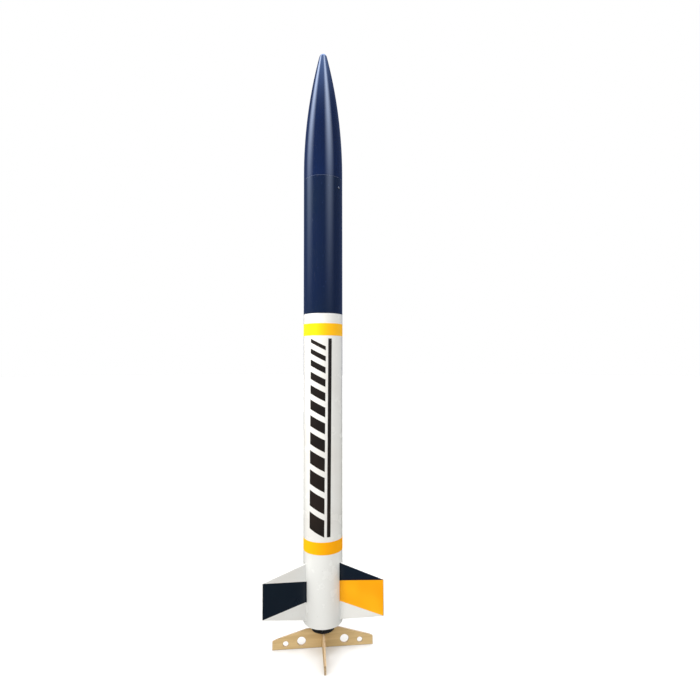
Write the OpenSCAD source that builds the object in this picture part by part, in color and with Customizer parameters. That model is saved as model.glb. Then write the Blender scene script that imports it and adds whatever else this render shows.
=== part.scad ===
// High-power model rocket on a cross-lapped plywood display stand.
// +Z points up the rocket. The origin is on the rocket's axis, at the foot of the stand.
// The stand, the booster, the payload section and the retainer cap are bodies that come apart.

/* [Airframe tubes] */
// Outside diameter of the airframe tubes
tube_od = 101.6; // [84:0.1:122]
// Wall of the airframe tubes
tube_wall = 1.27; // [1:0.01:3]
// Length of the booster tube
booster_len = 786; // [650:1:950]
// Length of the payload tube
payload_len = 353; // [260:1:430]
// Wall of the coupler tube
coupler_wall = 1.9; // [1.5:0.1:3]
// Length of the coupler tube, half of it in each airframe tube
coupler_len = 200; // [150:1:240]
// Thickness of the bulkhead in the coupler
bulkhead_t = 6.35; // [4:0.05:10]
// Distance of the bulkhead from the coupler tube's aft end
bulkhead_inset = 2; // [1:0.5:6]
// Length of the vinyl trim bands along the tube
band_len = 31; // [15:1:45]
// Gap from the top of the fins' root chord to the lower trim band
band_above_fins = 28.7; // [5:0.1:60]
// Gap from the top of the upper trim band to the booster tube's forward rim
upper_band_drop = 25.3; // [5:0.1:60]
// Thickness of the vinyl trim
vinyl_t = 0.2; // [0.1:0.05:0.4]

/* [Nose cone] */
// Height of the nose cone above the payload tube
nose_len = 344.5; // [280:1:430]
// Height of the straight band at the foot of the nose cone
nose_band = 16; // [4:1:30]
// Radius of the rounded tip
nose_tip_r = 10.5; // [5:0.5:14]
// Wall of the moulded nose cone
nose_wall = 2.4; // [1.6:0.1:4]
// Depth of solid plastic in the tip
nose_tip_solid = 24; // [18:1:40]
// Length of the shoulder that plugs into the payload tube
shoulder_len = 95; // [60:1:120]
// Thickness of the plug in the foot of the shoulder
nose_base_t = 4; // [3:0.5:8]
// Number of screws that hold the nose cone
nose_screw_count = 2; // [2:1:6]
// Depth of the nose screws below the payload tube's rim
nose_screw_drop = 26; // [20:1:50]
// Direction of the first nose screw round the tube, in degrees from +X
nose_screw_turn = -39; // [-60:1:0]
// Shank diameter of the nose screws
nose_screw_d = 2.8; // [2:0.1:4]
// Head diameter of the nose screws
nose_screw_head_d = 5.6; // [4:0.1:8]
// Head height of the nose screws
nose_screw_head_h = 1.8; // [1:0.1:3]
// Length of the nose screws under the head
nose_screw_len = 8; // [5:0.5:12]

/* [Fins] */
// Number of fins
fin_count = 3; // [3:1:3]
// Thickness of the plywood fins
fin_t = 4.8; // [3:0.1:7]
// Span of a fin from the tube's wall to the tip
fin_span = 118; // [90:1:150]
// Root chord, along the tube
fin_root = 141.5; // [130:0.5:170]
// Tip chord
fin_tip = 87.5; // [60:0.5:110]
// Foot of the root chord above the tube's aft rim
fin_root_z = 12.3; // [10:0.1:20]
// Foot of the tip chord above the foot of the root chord
fin_tip_rise = 34.7; // [10:0.1:60]
// Distance of the tab from each end of the root chord
fin_tab_inset = 4.5; // [3:0.5:20]
// Radius of the glue fillets along the roots
fillet_r = 3; // [2:0.5:9]

/* [Motor mount] */
// Bore of the motor tube
motor_bore = 38.7; // [30:0.1:48]
// Wall of the motor tube
motor_wall = 1.35; // [1:0.05:2.5]
// Length of the motor tube
motor_len = 305; // [260:1:350]
// Thickness of the plywood centering rings
ring_t = 6.35; // [4:0.05:9]
// Top of the aft ring above the tube's aft rim
aft_ring_top = 9.5; // [8:0.1:12]
// Distance of the forward ring from the motor tube's forward end
forward_ring_drop = 10; // [5:1:25]
// Rim of the airframe above the foot of the retainer cap
retainer_drop = 21.5; // [20:0.5:28]
// Wall of the fixed half of the retainer
retainer_wall = 4.2; // [3:0.1:6]
// Height of the retainer cap
cap_h = 19; // [17:0.5:21]
// Thickness of the lip in the foot of the cap
cap_lip_t = 2.5; // [2:0.1:4]
// Play of a motor case in the mouth of the cap, more than in the motor tube
cap_mouth_play = 0.3; // [0.2:0.1:1]
// Wall of the cap
cap_wall = 1.85; // [1.5:0.05:3]
// Height of a bayonet lug
lug_h = 3; // [2:0.1:4]
// Width of a bayonet lug, in degrees
lug_angle = 44; // [30:1:50]
// Radial depth of a bayonet lug
lug_depth = 2; // [1.5:0.1:2.5]
// Number of grip flutes round the cap
flute_count = 24; // [12:1:36]
// Radius of a grip flute
flute_r = 1.5; // [1:0.1:2]

/* [Launch lugs] */
// Bore of the launch lugs
lug_bore = 7.1; // [5:0.1:10]
// Wall of the launch lugs
lug_wall = 0.7; // [0.5:0.05:1.5]
// Length of each launch lug
lug_len = 50; // [30:1:80]
// Foot of the lower launch lug above the tube's aft rim
lower_lug_z = 60; // [20:1:120]
// Foot of the upper launch lug above the tube's aft rim
upper_lug_z = 480; // [300:1:600]
// Direction of the launch lugs round the tube, in degrees from +X
lug_turn = 150; // [135:1:165]

/* [Graphics] */
// Gap from the lower trim band to the black graphic
graphic_foot_gap = 12.5; // [2:0.1:40]
// Gap from the black graphic to the upper trim band
graphic_head_gap = 7.7; // [2:0.1:40]
// Number of slanted marks
mark_count = 12; // [6:1:12]
// Height of the lowest mark, along the tube
mark_first = 42; // [16:1:42]
// Height of the highest mark, along the tube
mark_last = 10; // [6:1:16]
// Width of the marks across the tube
mark_w = 39; // [25:1:45]
// Rise of a mark from one side to the other
mark_slant = 20; // [0:1:30]
// Width of the long stripe
stripe_w = 9.2; // [4:0.1:14]
// Direction of the marks round the tube, in degrees from +X
mark_turn = -110; // [-125:1:-95]
// Direction of the stripe round the tube, in degrees from +X
stripe_turn = -74.6; // [-80:0.1:-60]
// Drift of the graphic to the right between its foot and its head
graphic_lean = 3.6; // [0:0.1:6]

/* [Recovery] */
// Radius of the packed parachute
chute_r = 36; // [25:1:42]
// Length of the packed parachute
chute_len = 170; // [120:1:220]
// Thickness of the folded flameproof cloth
cloth_t = 2.5; // [1.5:0.1:3]
// Height of the flameproof cloth round the parachute
cloth_h = 112; // [60:1:140]
// Wire diameter of the eye bolts
eye_wire_d = 6; // [4:0.5:8]
// Inside diameter of the eyes
eye_d = 14; // [10:1:20]
// Shank length of the eye bolts
eye_shank = 27; // [22:1:34]
// Thickness of the nuts
nut_h = 5; // [4:0.5:6]
// Width of the nuts across their corners
nut_d = 11.5; // [10:0.1:13]
// Diameter of the washers
washer_d = 15; // [12:0.5:17]
// Thickness of the washers
washer_t = 1.5; // [1:0.1:2]

/* [Stand] */
// Thickness of the stand's plywood
stand_t = 4.8; // [4:0.05:9]
// Reach of the wide plate's legs from the rocket's axis
leg_reach = 129; // [112:1:160]
// Reach of the cross plate's legs from the rocket's axis
cross_reach = 114; // [112:1:160]
// Height of the stand's flat top
stand_h = 48; // [40:1:60]
// Half length of the flat top
flat_reach = 42; // [38:1:58]
// Height of the leg's end
leg_end_h = 21; // [17:1:26]
// Length of the clipped corner at the leg's end
corner_cut = 9.5; // [5:0.5:14]
// Rise of the clipped corner
corner_rise = 4.5; // [2:0.5:7]
// Diameter of the large hole in each leg
big_hole_d = 22; // [15:0.5:25]
// Distance of the large holes from the axis
big_hole_x = 55; // [48:1:60]
// Height of the large holes
big_hole_z = 18.5; // [16:0.5:21]
// Diameter of the small hole in each leg
small_hole_d = 14; // [8:0.5:16]
// Distance of the small holes from the axis
small_hole_x = 95; // [85:1:100]
// Height of the small holes
small_hole_z = 13.5; // [12:0.5:15]
// Height of the tang that goes up into the motor tube
tang_h = 60; // [30:1:80]
// Turn of the stand under the rocket
stand_turn = 2; // [-20:1:20]

/* [Fits] */
// Radial gap of the parts that slide in the airframe tubes
slide_gap = 0.3; // [0.2:0.05:0.5]
// Gap left for glue between fixed parts
glue_gap = 0.1; // [0.05:0.05:0.2]
// Gap between the retainer and its cap
cap_gap = 0.4; // [0.3:0.05:0.5]
// Gap between the tang's corners and the motor tube's bore
tang_gap = 0.7; // [0.5:0.1:1.5]
// Play in the slots of the cross-lapped plates
slot_play = 0.2; // [0.1:0.05:0.4]

/* [Hidden] */

$fn = 96;
// Facets of the very large circle that gives the nose cone its curve
ogive_fn = 1440;
// Facets of the circles that shape the thin fillets
fillet_fn = 720;
// Facets of the eye bolts' wire and of the small screw holes
wire_fn = 48;
hole_fn = 32;
// How far a cut runs past the face that it opens, or a piece into the one that it is glued to
past = 1;

tube_r = tube_od / 2;
tube_in_r = tube_r - tube_wall;
rim_z = stand_h + retainer_drop;
booster_top = rim_z + booster_len;
seam_z = booster_top + payload_len;

// Fins
fin_first = -30;
fin_step = 360 / fin_count;
fin_root_lo = rim_z + fin_root_z;
fin_root_hi = fin_root_lo + fin_root;
fin_tip_lo = fin_root_lo + fin_tip_rise;
tab_lo = fin_root_lo + fin_tab_inset;
tab_hi = fin_root_hi - fin_tab_inset;

// Vinyl
lower_band_z = fin_root_hi + band_above_fins;
upper_band_z = booster_top - upper_band_drop - band_len;
graphic_z = lower_band_z + band_len + graphic_foot_gap;
graphic_len = upper_band_z - graphic_head_gap - graphic_z;

// Motor mount
motor_bore_r = motor_bore / 2;
motor_r = motor_bore_r + motor_wall;
motor_lo = stand_h + cap_lip_t + cap_gap * 2;
motor_hi = motor_lo + motor_len;
aft_ring_z = rim_z + aft_ring_top - ring_t;
middle_ring_z = tab_hi + glue_gap;
forward_ring_z = motor_hi - forward_ring_drop - ring_t;
ring_out_r = tube_in_r - glue_gap;
ring_in_r = motor_r + glue_gap;
retainer_r = ring_in_r + retainer_wall;
retainer_lug_r = retainer_r + lug_depth;
cap_in_r = retainer_lug_r + cap_gap;
cap_r = cap_in_r + cap_wall;
cap_mouth_r = (motor_bore + cap_mouth_play) / 2;
cap_top = stand_h + cap_h;
cap_lug_z = cap_top - lug_h;
retainer_lug_z = cap_lug_z - cap_gap - lug_h;
bayonet_turns = [0, 120, 240];

// Launch lugs
lug_out_r = lug_bore / 2 + lug_wall;
lug_axis_r = tube_r + lug_out_r;
lug_foot_share = 1.2;
lug_foot_w = lug_out_r * lug_foot_share;

// Eye bolts
eye_wire_r = eye_wire_d / 2;
eye_ring_r = eye_d / 2 + eye_wire_r;
eye_hole_r = eye_wire_r + glue_gap;
eye_offset = (ring_in_r + ring_out_r) / 2;
eye_turn = 30;
bay_floor = forward_ring_z + ring_t;
eye_top = bay_floor + washer_t + nut_h + 2 * (eye_ring_r + eye_wire_r);

// Recovery
cloth_clear = 1.5;
cloth_lo = eye_top + cloth_clear;
chute_lo = cloth_lo + cloth_t + cloth_clear;

// Coupler and nose cone
coupler_r = tube_in_r - slide_gap;
coupler_in_r = coupler_r - coupler_wall;
coupler_lo = booster_top - coupler_len / 2;
bulkhead_z = coupler_lo + bulkhead_inset;
nose_in_r = coupler_r - nose_wall;
shoulder_lo = seam_z - shoulder_len;
nose_screw_top_d = nose_screw_head_d * 0.6;
// The nose curve is tangent to the straight band and to the round tip.
curve_h = nose_len - nose_band - nose_tip_r;
ogive_r = (tube_r * tube_r + curve_h * curve_h - nose_tip_r * nose_tip_r) / (2 * (tube_r - nose_tip_r));
tip_reach = nose_tip_r / (ogive_r - nose_tip_r);
tangent_z = nose_band + curve_h * (1 + tip_reach);
cavity_curve_r = ogive_r - (tube_r - nose_in_r);
cavity_curve_z = shoulder_len + nose_band + past;

// Stand
tang_top = stand_h + tang_h;
tang_w = sqrt(pow(motor_bore_r - tang_gap, 2) - pow(stand_t / 2, 2));
lap_z = tang_top / 2;

// A plain ring between two radii
module ring(r_out, r_in, z, h) {
    translate([0, 0, z]) difference() {
        cylinder(r = r_out, h = h);
        translate([0, 0, -past]) cylinder(r = r_in, h = h + 2 * past);
    }
}

// The outline of one stand plate, in its own plane
module stand_outline(reach) {
    slope_x = reach - corner_cut;
    slope_z = leg_end_h + corner_rise;
    difference() {
        polygon([
            [-reach, 0], [reach, 0], [reach, leg_end_h], [slope_x, slope_z],
            [flat_reach, stand_h], [tang_w, stand_h], [tang_w, tang_top],
            [-tang_w, tang_top], [-tang_w, stand_h], [-flat_reach, stand_h],
            [-slope_x, slope_z], [-reach, leg_end_h]
        ]);
        for (side = [-1, 1]) {
            translate([side * big_hole_x, big_hole_z]) circle(d = big_hole_d);
            translate([side * small_hole_x, small_hole_z]) circle(d = small_hole_d);
        }
    }
}

module stand_plate(reach, turn, slot_lo, slot_hi) {
    slot_w = stand_t + slot_play;
    rotate([0, 0, turn]) difference() {
        rotate([90, 0, 0]) linear_extrude(height = stand_t, center = true) stand_outline(reach);
        translate([-slot_w / 2, -stand_t, slot_lo]) cube([slot_w, 2 * stand_t, slot_hi - slot_lo]);
    }
}

// The plate across the view, with its slot in the lower half
module stand_plate_wide() {
    color("burlywood") stand_plate(leg_reach, stand_turn, -past, lap_z + slot_play / 4);
}

// The plate from front to back, with its slot in the upper half
module stand_plate_cross() {
    color("burlywood") stand_plate(cross_reach, stand_turn + 90, lap_z - slot_play / 4, tang_top + past);
}

module booster_tube() {
    slot_w = fin_t + 2 * glue_gap;
    color("white") difference() {
        ring(tube_r, tube_in_r, rim_z, booster_len);
        for (i = [0 : fin_count - 1])
            rotate([0, 0, fin_first + i * fin_step])
                translate([tube_in_r - past, -slot_w / 2, tab_lo - glue_gap])
                    cube([tube_wall + 2 * past, slot_w, tab_hi - tab_lo + 2 * glue_gap]);
    }
}

module motor_tube() {
    color("peru") ring(motor_r, motor_bore_r, motor_lo, motor_len);
}

module aft_ring() {
    color("tan") ring(ring_out_r, ring_in_r, aft_ring_z, ring_t);
}

module middle_ring() {
    color("tan") ring(ring_out_r, ring_in_r, middle_ring_z, ring_t);
}

// The forward ring also carries the recovery eye bolt.
module forward_ring() {
    color("tan") difference() {
        ring(ring_out_r, ring_in_r, forward_ring_z, ring_t);
        rotate([0, 0, eye_turn]) translate([eye_offset, 0, forward_ring_z - past])
            cylinder(r = eye_hole_r, h = ring_t + 2 * past);
    }
}

// A clipped-delta fin with its tab running in to the motor tube
module fin(i) {
    tab_in = motor_r + glue_gap;
    tip_r = tube_r + fin_span;
    rotate([0, 0, fin_first + i * fin_step])
        rotate([90, 0, 0])
            linear_extrude(height = fin_t, center = true)
                polygon([
                    [tube_r, fin_root_lo], [tip_r, fin_tip_lo], [tip_r, fin_tip_lo + fin_tip],
                    [tube_r, fin_root_hi], [tube_r, tab_hi], [tab_in, tab_hi],
                    [tab_in, tab_lo], [tube_r, tab_lo]
                ]);
}

module fin_right() { color("midnightblue") fin(0); }

module fin_rear() { color("midnightblue") fin(1); }

module fin_left() { color("midnightblue") fin(2); }

// One glue fillet in plan, between the tube's wall and a fin's face
module fillet_plan() {
    cy = fin_t / 2 + fillet_r;
    cx = sqrt(pow(tube_r + fillet_r, 2) - cy * cy);
    share = tube_r / (tube_r + fillet_r);
    difference() {
        polygon([[tube_r - past, fin_t / 2], [cx, fin_t / 2], [cx, cy], [cx * share, cy * share]]);
        circle(r = tube_r, $fn = fillet_fn);
        translate([cx, cy]) circle(r = fillet_r, $fn = fillet_fn);
    }
}

module fin_fillets() {
    color("midnightblue")
        for (i = [0 : fin_count - 1], side = [0, 1])
            rotate([0, 0, fin_first + i * fin_step])
                mirror([0, side, 0])
                    translate([0, 0, fin_root_lo])
                        linear_extrude(height = fin_root) fillet_plan();
}

// A sector of a ring, centred on one direction
module sector(r_out, r_in, z, h, turn) {
    rotate([0, 0, turn - lug_angle / 2]) translate([0, 0, z])
        rotate_extrude(angle = lug_angle) translate([r_in, 0]) square([r_out - r_in, h]);
}

// The fixed half of the bayonet retainer, glued on the motor tube
module retainer_body() {
    color("dimgray") {
        ring(retainer_r, ring_in_r, motor_lo, aft_ring_z - motor_lo);
        for (turn = bayonet_turns)
            sector(retainer_lug_r, retainer_r - lug_depth / 2, retainer_lug_z, lug_h, turn);
    }
}

// The cap drops over the lugs, then turns until its own lugs sit above them.
module retainer_cap() {
    color("black") {
        difference() {
            ring(cap_r, cap_in_r, stand_h, cap_h);
            for (i = [0 : flute_count - 1])
                rotate([0, 0, i * 360 / flute_count])
                    translate([cap_r + flute_r / 2, 0, stand_h + cap_lip_t])
                        cylinder(r = flute_r, h = cap_h);
        }
        ring(cap_r - flute_r, cap_mouth_r, stand_h, cap_lip_t);
        for (turn = bayonet_turns)
            sector(cap_in_r + cap_wall / 2, retainer_r + cap_gap, cap_lug_z, lug_h, turn);
    }
}

// A launch lug with the fillet that beds it on the airframe
module launch_lug(z) {
    rotate([0, 0, lug_turn]) translate([0, 0, rim_z + z]) difference() {
        union() {
            translate([lug_axis_r, 0, 0]) cylinder(r = lug_out_r, h = lug_len);
            translate([tube_r - past, -lug_foot_w / 2, 0])
                cube([past + lug_out_r, lug_foot_w, lug_len]);
        }
        translate([lug_axis_r, 0, -past]) cylinder(d = lug_bore, h = lug_len + 2 * past);
        translate([0, 0, -past]) cylinder(r = tube_r, h = lug_len + 2 * past);
    }
}

module launch_lug_lower() { color("white") launch_lug(lower_lug_z); }

module launch_lug_upper() { color("white") launch_lug(upper_lug_z); }

module lower_band() {
    color("gold") ring(tube_r + vinyl_t, tube_r, lower_band_z, band_len);
}

module upper_band() {
    color("gold") ring(tube_r + vinyl_t, tube_r, upper_band_z, band_len);
}

// Vinyl laid on the booster tube: an outline pressed onto the wall from one direction
module vinyl(turn) {
    rotate([0, 0, turn]) intersection() {
        ring(tube_r + vinyl_t, tube_r, graphic_z - past, graphic_len + 2 * past);
        translate([0, 0, graphic_z]) rotate([90, 0, 90])
            linear_extrude(height = tube_od) children();
    }
}

module side_stripe() {
    color("black") vinyl(stripe_turn)
        polygon([
            [-stripe_w / 2, 0], [stripe_w / 2, 0],
            [stripe_w / 2 + graphic_lean, graphic_len], [-stripe_w / 2 + graphic_lean, graphic_len]
        ]);
}

// Slanted bars that thin out up the tube, with equal gaps between them
module side_marks() {
    step = (mark_last - mark_first) / (mark_count - 1);
    inked = mark_count * (mark_first + mark_last) / 2;
    gap = (graphic_len - mark_slant - inked) / (mark_count - 1);
    color("black") vinyl(mark_turn)
        for (i = [0 : mark_count - 1])
            mark(i * (mark_first + gap) + step * i * (i - 1) / 2, mark_first + step * i);
}

// One slanted bar, with its lower corner at height z
module mark(z, h) {
    half = mark_w / 2;
    corners = [[-half, z + mark_slant], [half, z], [half, z + h], [-half, z + h + mark_slant]];
    polygon([for (c = corners) [c[0] + graphic_lean * c[1] / graphic_len, c[1]]]);
}

// An eye bolt whose shank runs down from the eye
module eyebolt() {
    translate([0, 0, eye_ring_r]) rotate([90, 0, 0])
        rotate_extrude() translate([eye_ring_r, 0]) circle(r = eye_wire_r, $fn = wire_fn);
    translate([0, 0, -eye_shank]) cylinder(r = eye_wire_r, h = eye_shank);
}

// A nut and a washer on each face of a board, with the board's lower face at 0
module nut_pair(board_t) {
    for (flip = [0, 1])
        translate([0, 0, flip * board_t]) mirror([0, 0, 1 - flip]) {
            ring(washer_d / 2, eye_hole_r, 0, washer_t);
            difference() {
                translate([0, 0, washer_t]) cylinder(d = nut_d, h = nut_h, $fn = 6);
                cylinder(r = eye_hole_r, h = washer_t + nut_h + past);
            }
        }
}

module at_ring_eye() {
    rotate([0, 0, eye_turn]) translate([eye_offset, 0, 0]) children();
}

module booster_eyebolt() {
    color("silver") at_ring_eye()
        translate([0, 0, bay_floor + washer_t + nut_h + eye_wire_r]) rotate([0, 0, 90]) eyebolt();
}

module booster_nuts() {
    color("silver") at_ring_eye() translate([0, 0, forward_ring_z]) nut_pair(ring_t);
}

// A rolled bundle with rounded ends
module parachute() {
    round_r = chute_r / 3;
    color("darkorange") translate([0, 0, chute_lo]) rotate_extrude() {
        translate([0, round_r]) square([chute_r, chute_len - 2 * round_r]);
        square([chute_r - round_r, chute_len]);
        for (z = [round_r, chute_len - round_r])
            translate([chute_r - round_r, z]) circle(r = round_r);
    }
}

// The flameproof cloth, folded up round the lower part of the parachute
module chute_protector() {
    cloth_in_r = chute_r + cloth_clear;
    color("khaki") difference() {
        translate([0, 0, cloth_lo]) cylinder(r = cloth_in_r + cloth_t, h = cloth_h);
        translate([0, 0, cloth_lo + cloth_t]) cylinder(r = cloth_in_r, h = cloth_h);
    }
}

module nose_screw_holes(d, r_from, r_to) {
    for (i = [0 : nose_screw_count - 1])
        rotate([0, 0, nose_screw_turn + i * 360 / nose_screw_count])
            translate([r_from, 0, seam_z - nose_screw_drop]) rotate([0, 90, 0])
                cylinder(d = d, h = r_to - r_from, $fn = hole_fn);
}

module payload_tube() {
    color("midnightblue") difference() {
        ring(tube_r, tube_in_r, booster_top, payload_len);
        nose_screw_holes(nose_screw_d + 2 * glue_gap, tube_in_r - past, tube_r + past);
    }
}

module coupler_tube() {
    color("peru") ring(coupler_r, coupler_in_r, coupler_lo, coupler_len);
}

module coupler_bulkhead() {
    color("tan") ring(coupler_in_r - glue_gap, eye_hole_r, bulkhead_z, bulkhead_t);
}

module payload_eyebolt() {
    color("silver") translate([0, 0, bulkhead_z - washer_t - nut_h - eye_wire_r])
        mirror([0, 0, 1]) eyebolt();
}

module payload_nuts() {
    color("silver") translate([0, 0, bulkhead_z]) nut_pair(bulkhead_t);
}

// The moulded nose cone: a curved shell on a straight shoulder, open at its foot
module nose_cone() {
    color("midnightblue") difference() {
        union() {
            translate([0, 0, seam_z]) rotate_extrude() {
                square([tube_r, nose_band]);
                intersection() {
                    translate([tube_r - ogive_r, nose_band]) circle(r = ogive_r, $fn = ogive_fn);
                    translate([0, nose_band]) square([tube_r, tangent_z - nose_band]);
                }
                intersection() {
                    translate([0, nose_band + curve_h]) circle(r = nose_tip_r);
                    translate([0, nose_band]) square([tube_r, nose_len]);
                }
            }
            translate([0, 0, shoulder_lo]) cylinder(r = coupler_r, h = shoulder_len);
        }
        translate([0, 0, shoulder_lo - past]) rotate_extrude() {
            square([nose_in_r, cavity_curve_z]);
            translate([0, cavity_curve_z]) intersection() {
                translate([tube_r - ogive_r, 0]) circle(r = cavity_curve_r, $fn = ogive_fn);
                square([nose_in_r, nose_len - nose_band - nose_tip_solid]);
            }
        }
        nose_screw_holes(nose_screw_d, nose_in_r - past, tube_r + past);
    }
}

// The plug in the shoulder, with a moulded loop for the recovery line
module nose_base() {
    loop_r = eye_ring_r;
    color("dimgray") {
        translate([0, 0, shoulder_lo]) cylinder(r = nose_in_r - glue_gap, h = nose_base_t);
        translate([0, 0, shoulder_lo + nose_base_t / 4]) rotate([-90, 0, 0])
            rotate_extrude(angle = 180) translate([loop_r, 0]) circle(r = eye_wire_r, $fn = wire_fn);
    }
}

module nose_screws() {
    color("silver")
        for (i = [0 : nose_screw_count - 1])
            rotate([0, 0, nose_screw_turn + i * 360 / nose_screw_count])
                translate([tube_r, 0, seam_z - nose_screw_drop]) rotate([0, 90, 0]) {
                    translate([0, 0, -nose_screw_len])
                        cylinder(d = nose_screw_d - glue_gap, h = nose_screw_len + nose_screw_head_h / 2);
                    cylinder(d = nose_screw_head_d, h = nose_screw_head_h / 2);
                    translate([0, 0, nose_screw_head_h / 2])
                        cylinder(d1 = nose_screw_head_d, d2 = nose_screw_top_d, h = nose_screw_head_h / 2);
                }
}

stand_plate_wide();
stand_plate_cross();
booster_tube();
motor_tube();
aft_ring();
middle_ring();
forward_ring();
fin_left();
fin_right();
fin_rear();
fin_fillets();
retainer_body();
retainer_cap();
launch_lug_lower();
launch_lug_upper();
lower_band();
upper_band();
side_stripe();
side_marks();
booster_eyebolt();
booster_nuts();
parachute();
chute_protector();
payload_tube();
coupler_tube();
coupler_bulkhead();
payload_eyebolt();
payload_nuts();
nose_cone();
nose_base();
nose_screws();
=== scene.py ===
"""Looks of a model rocket on its plywood display stand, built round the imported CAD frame."""
import logging
import math
from dataclasses import dataclass
from enum import Enum
from typing import Callable, Mapping, Sequence

import bmesh
import bpy
from mathutils import Matrix, Vector


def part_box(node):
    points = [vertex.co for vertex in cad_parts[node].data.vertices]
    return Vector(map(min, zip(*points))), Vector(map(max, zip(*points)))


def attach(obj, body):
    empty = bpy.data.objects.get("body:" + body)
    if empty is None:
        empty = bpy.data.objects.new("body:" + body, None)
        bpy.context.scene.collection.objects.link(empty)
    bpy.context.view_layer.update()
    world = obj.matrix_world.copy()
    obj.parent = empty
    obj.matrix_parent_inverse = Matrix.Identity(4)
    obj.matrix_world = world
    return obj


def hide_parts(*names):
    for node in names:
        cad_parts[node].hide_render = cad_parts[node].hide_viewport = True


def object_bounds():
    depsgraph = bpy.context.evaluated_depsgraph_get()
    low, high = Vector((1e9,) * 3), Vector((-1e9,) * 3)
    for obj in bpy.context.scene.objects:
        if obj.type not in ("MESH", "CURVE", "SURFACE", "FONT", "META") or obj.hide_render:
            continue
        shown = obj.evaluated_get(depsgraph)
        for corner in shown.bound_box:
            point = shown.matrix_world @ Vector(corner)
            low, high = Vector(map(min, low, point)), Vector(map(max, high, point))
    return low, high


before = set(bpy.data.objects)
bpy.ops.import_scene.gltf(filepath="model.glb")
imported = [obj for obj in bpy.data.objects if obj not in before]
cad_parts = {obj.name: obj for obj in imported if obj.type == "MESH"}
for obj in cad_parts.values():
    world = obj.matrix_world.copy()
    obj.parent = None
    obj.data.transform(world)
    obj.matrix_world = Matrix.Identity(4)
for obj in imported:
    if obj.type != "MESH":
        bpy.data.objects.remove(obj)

CAD_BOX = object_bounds()
LOG = logging.getLogger("rocket")

MM = 0.001
FULL_TURN = 2 * math.pi
ROUND_STEPS = 192
SMALL_STEPS = 48
HOLE_STEPS = 64
MERGE = 1e-7
CORNER = math.radians(35)

Colour = tuple[float, float, float, float]
Point = tuple[float, float]


def screen(red: int, green: int, blue: int) -> Colour:
    """A colour given by its 0 to 255 screen values.

    Args:
        red: Red, from 0 to 255.
        green: Green, from 0 to 255.
        blue: Blue, from 0 to 255.

    Returns:
        The colour as linear light, with an alpha of 1.
    """
    shares = [value / 255 for value in (red, green, blue)]
    linear = [s / 12.92 if s <= 0.04045 else ((s + 0.055) / 1.055) ** 2.4 for s in shares]
    return (linear[0], linear[1], linear[2], 1.0)


# ---------------------------------------------------------------- shader nodes


class Wire:
    """The output of a node, with Python's arithmetic, so that shader maths reads as an expression."""

    def __init__(self, bench: "Bench", socket: bpy.types.NodeSocket) -> None:
        """Keeps the bench that places new nodes, and the socket."""
        self.bench = bench
        self.socket = socket

    def __add__(self, other: "Wire | float") -> "Wire":
        """self + other."""
        return self.bench.math("ADD", self, other)

    def __radd__(self, other: float) -> "Wire":
        """other + self."""
        return self.bench.math("ADD", other, self)

    def __sub__(self, other: "Wire | float") -> "Wire":
        """self - other."""
        return self.bench.math("SUBTRACT", self, other)

    def __rsub__(self, other: float) -> "Wire":
        """other - self."""
        return self.bench.math("SUBTRACT", other, self)

    def __mul__(self, other: "Wire | float") -> "Wire":
        """self * other."""
        return self.bench.math("MULTIPLY", self, other)

    def __rmul__(self, other: float) -> "Wire":
        """other * self."""
        return self.bench.math("MULTIPLY", other, self)

    def __truediv__(self, other: "Wire | float") -> "Wire":
        """self / other."""
        return self.bench.math("DIVIDE", self, other)

    def __abs__(self) -> "Wire":
        """The size of self, without its sign."""
        return self.bench.math("ABSOLUTE", self)


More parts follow.
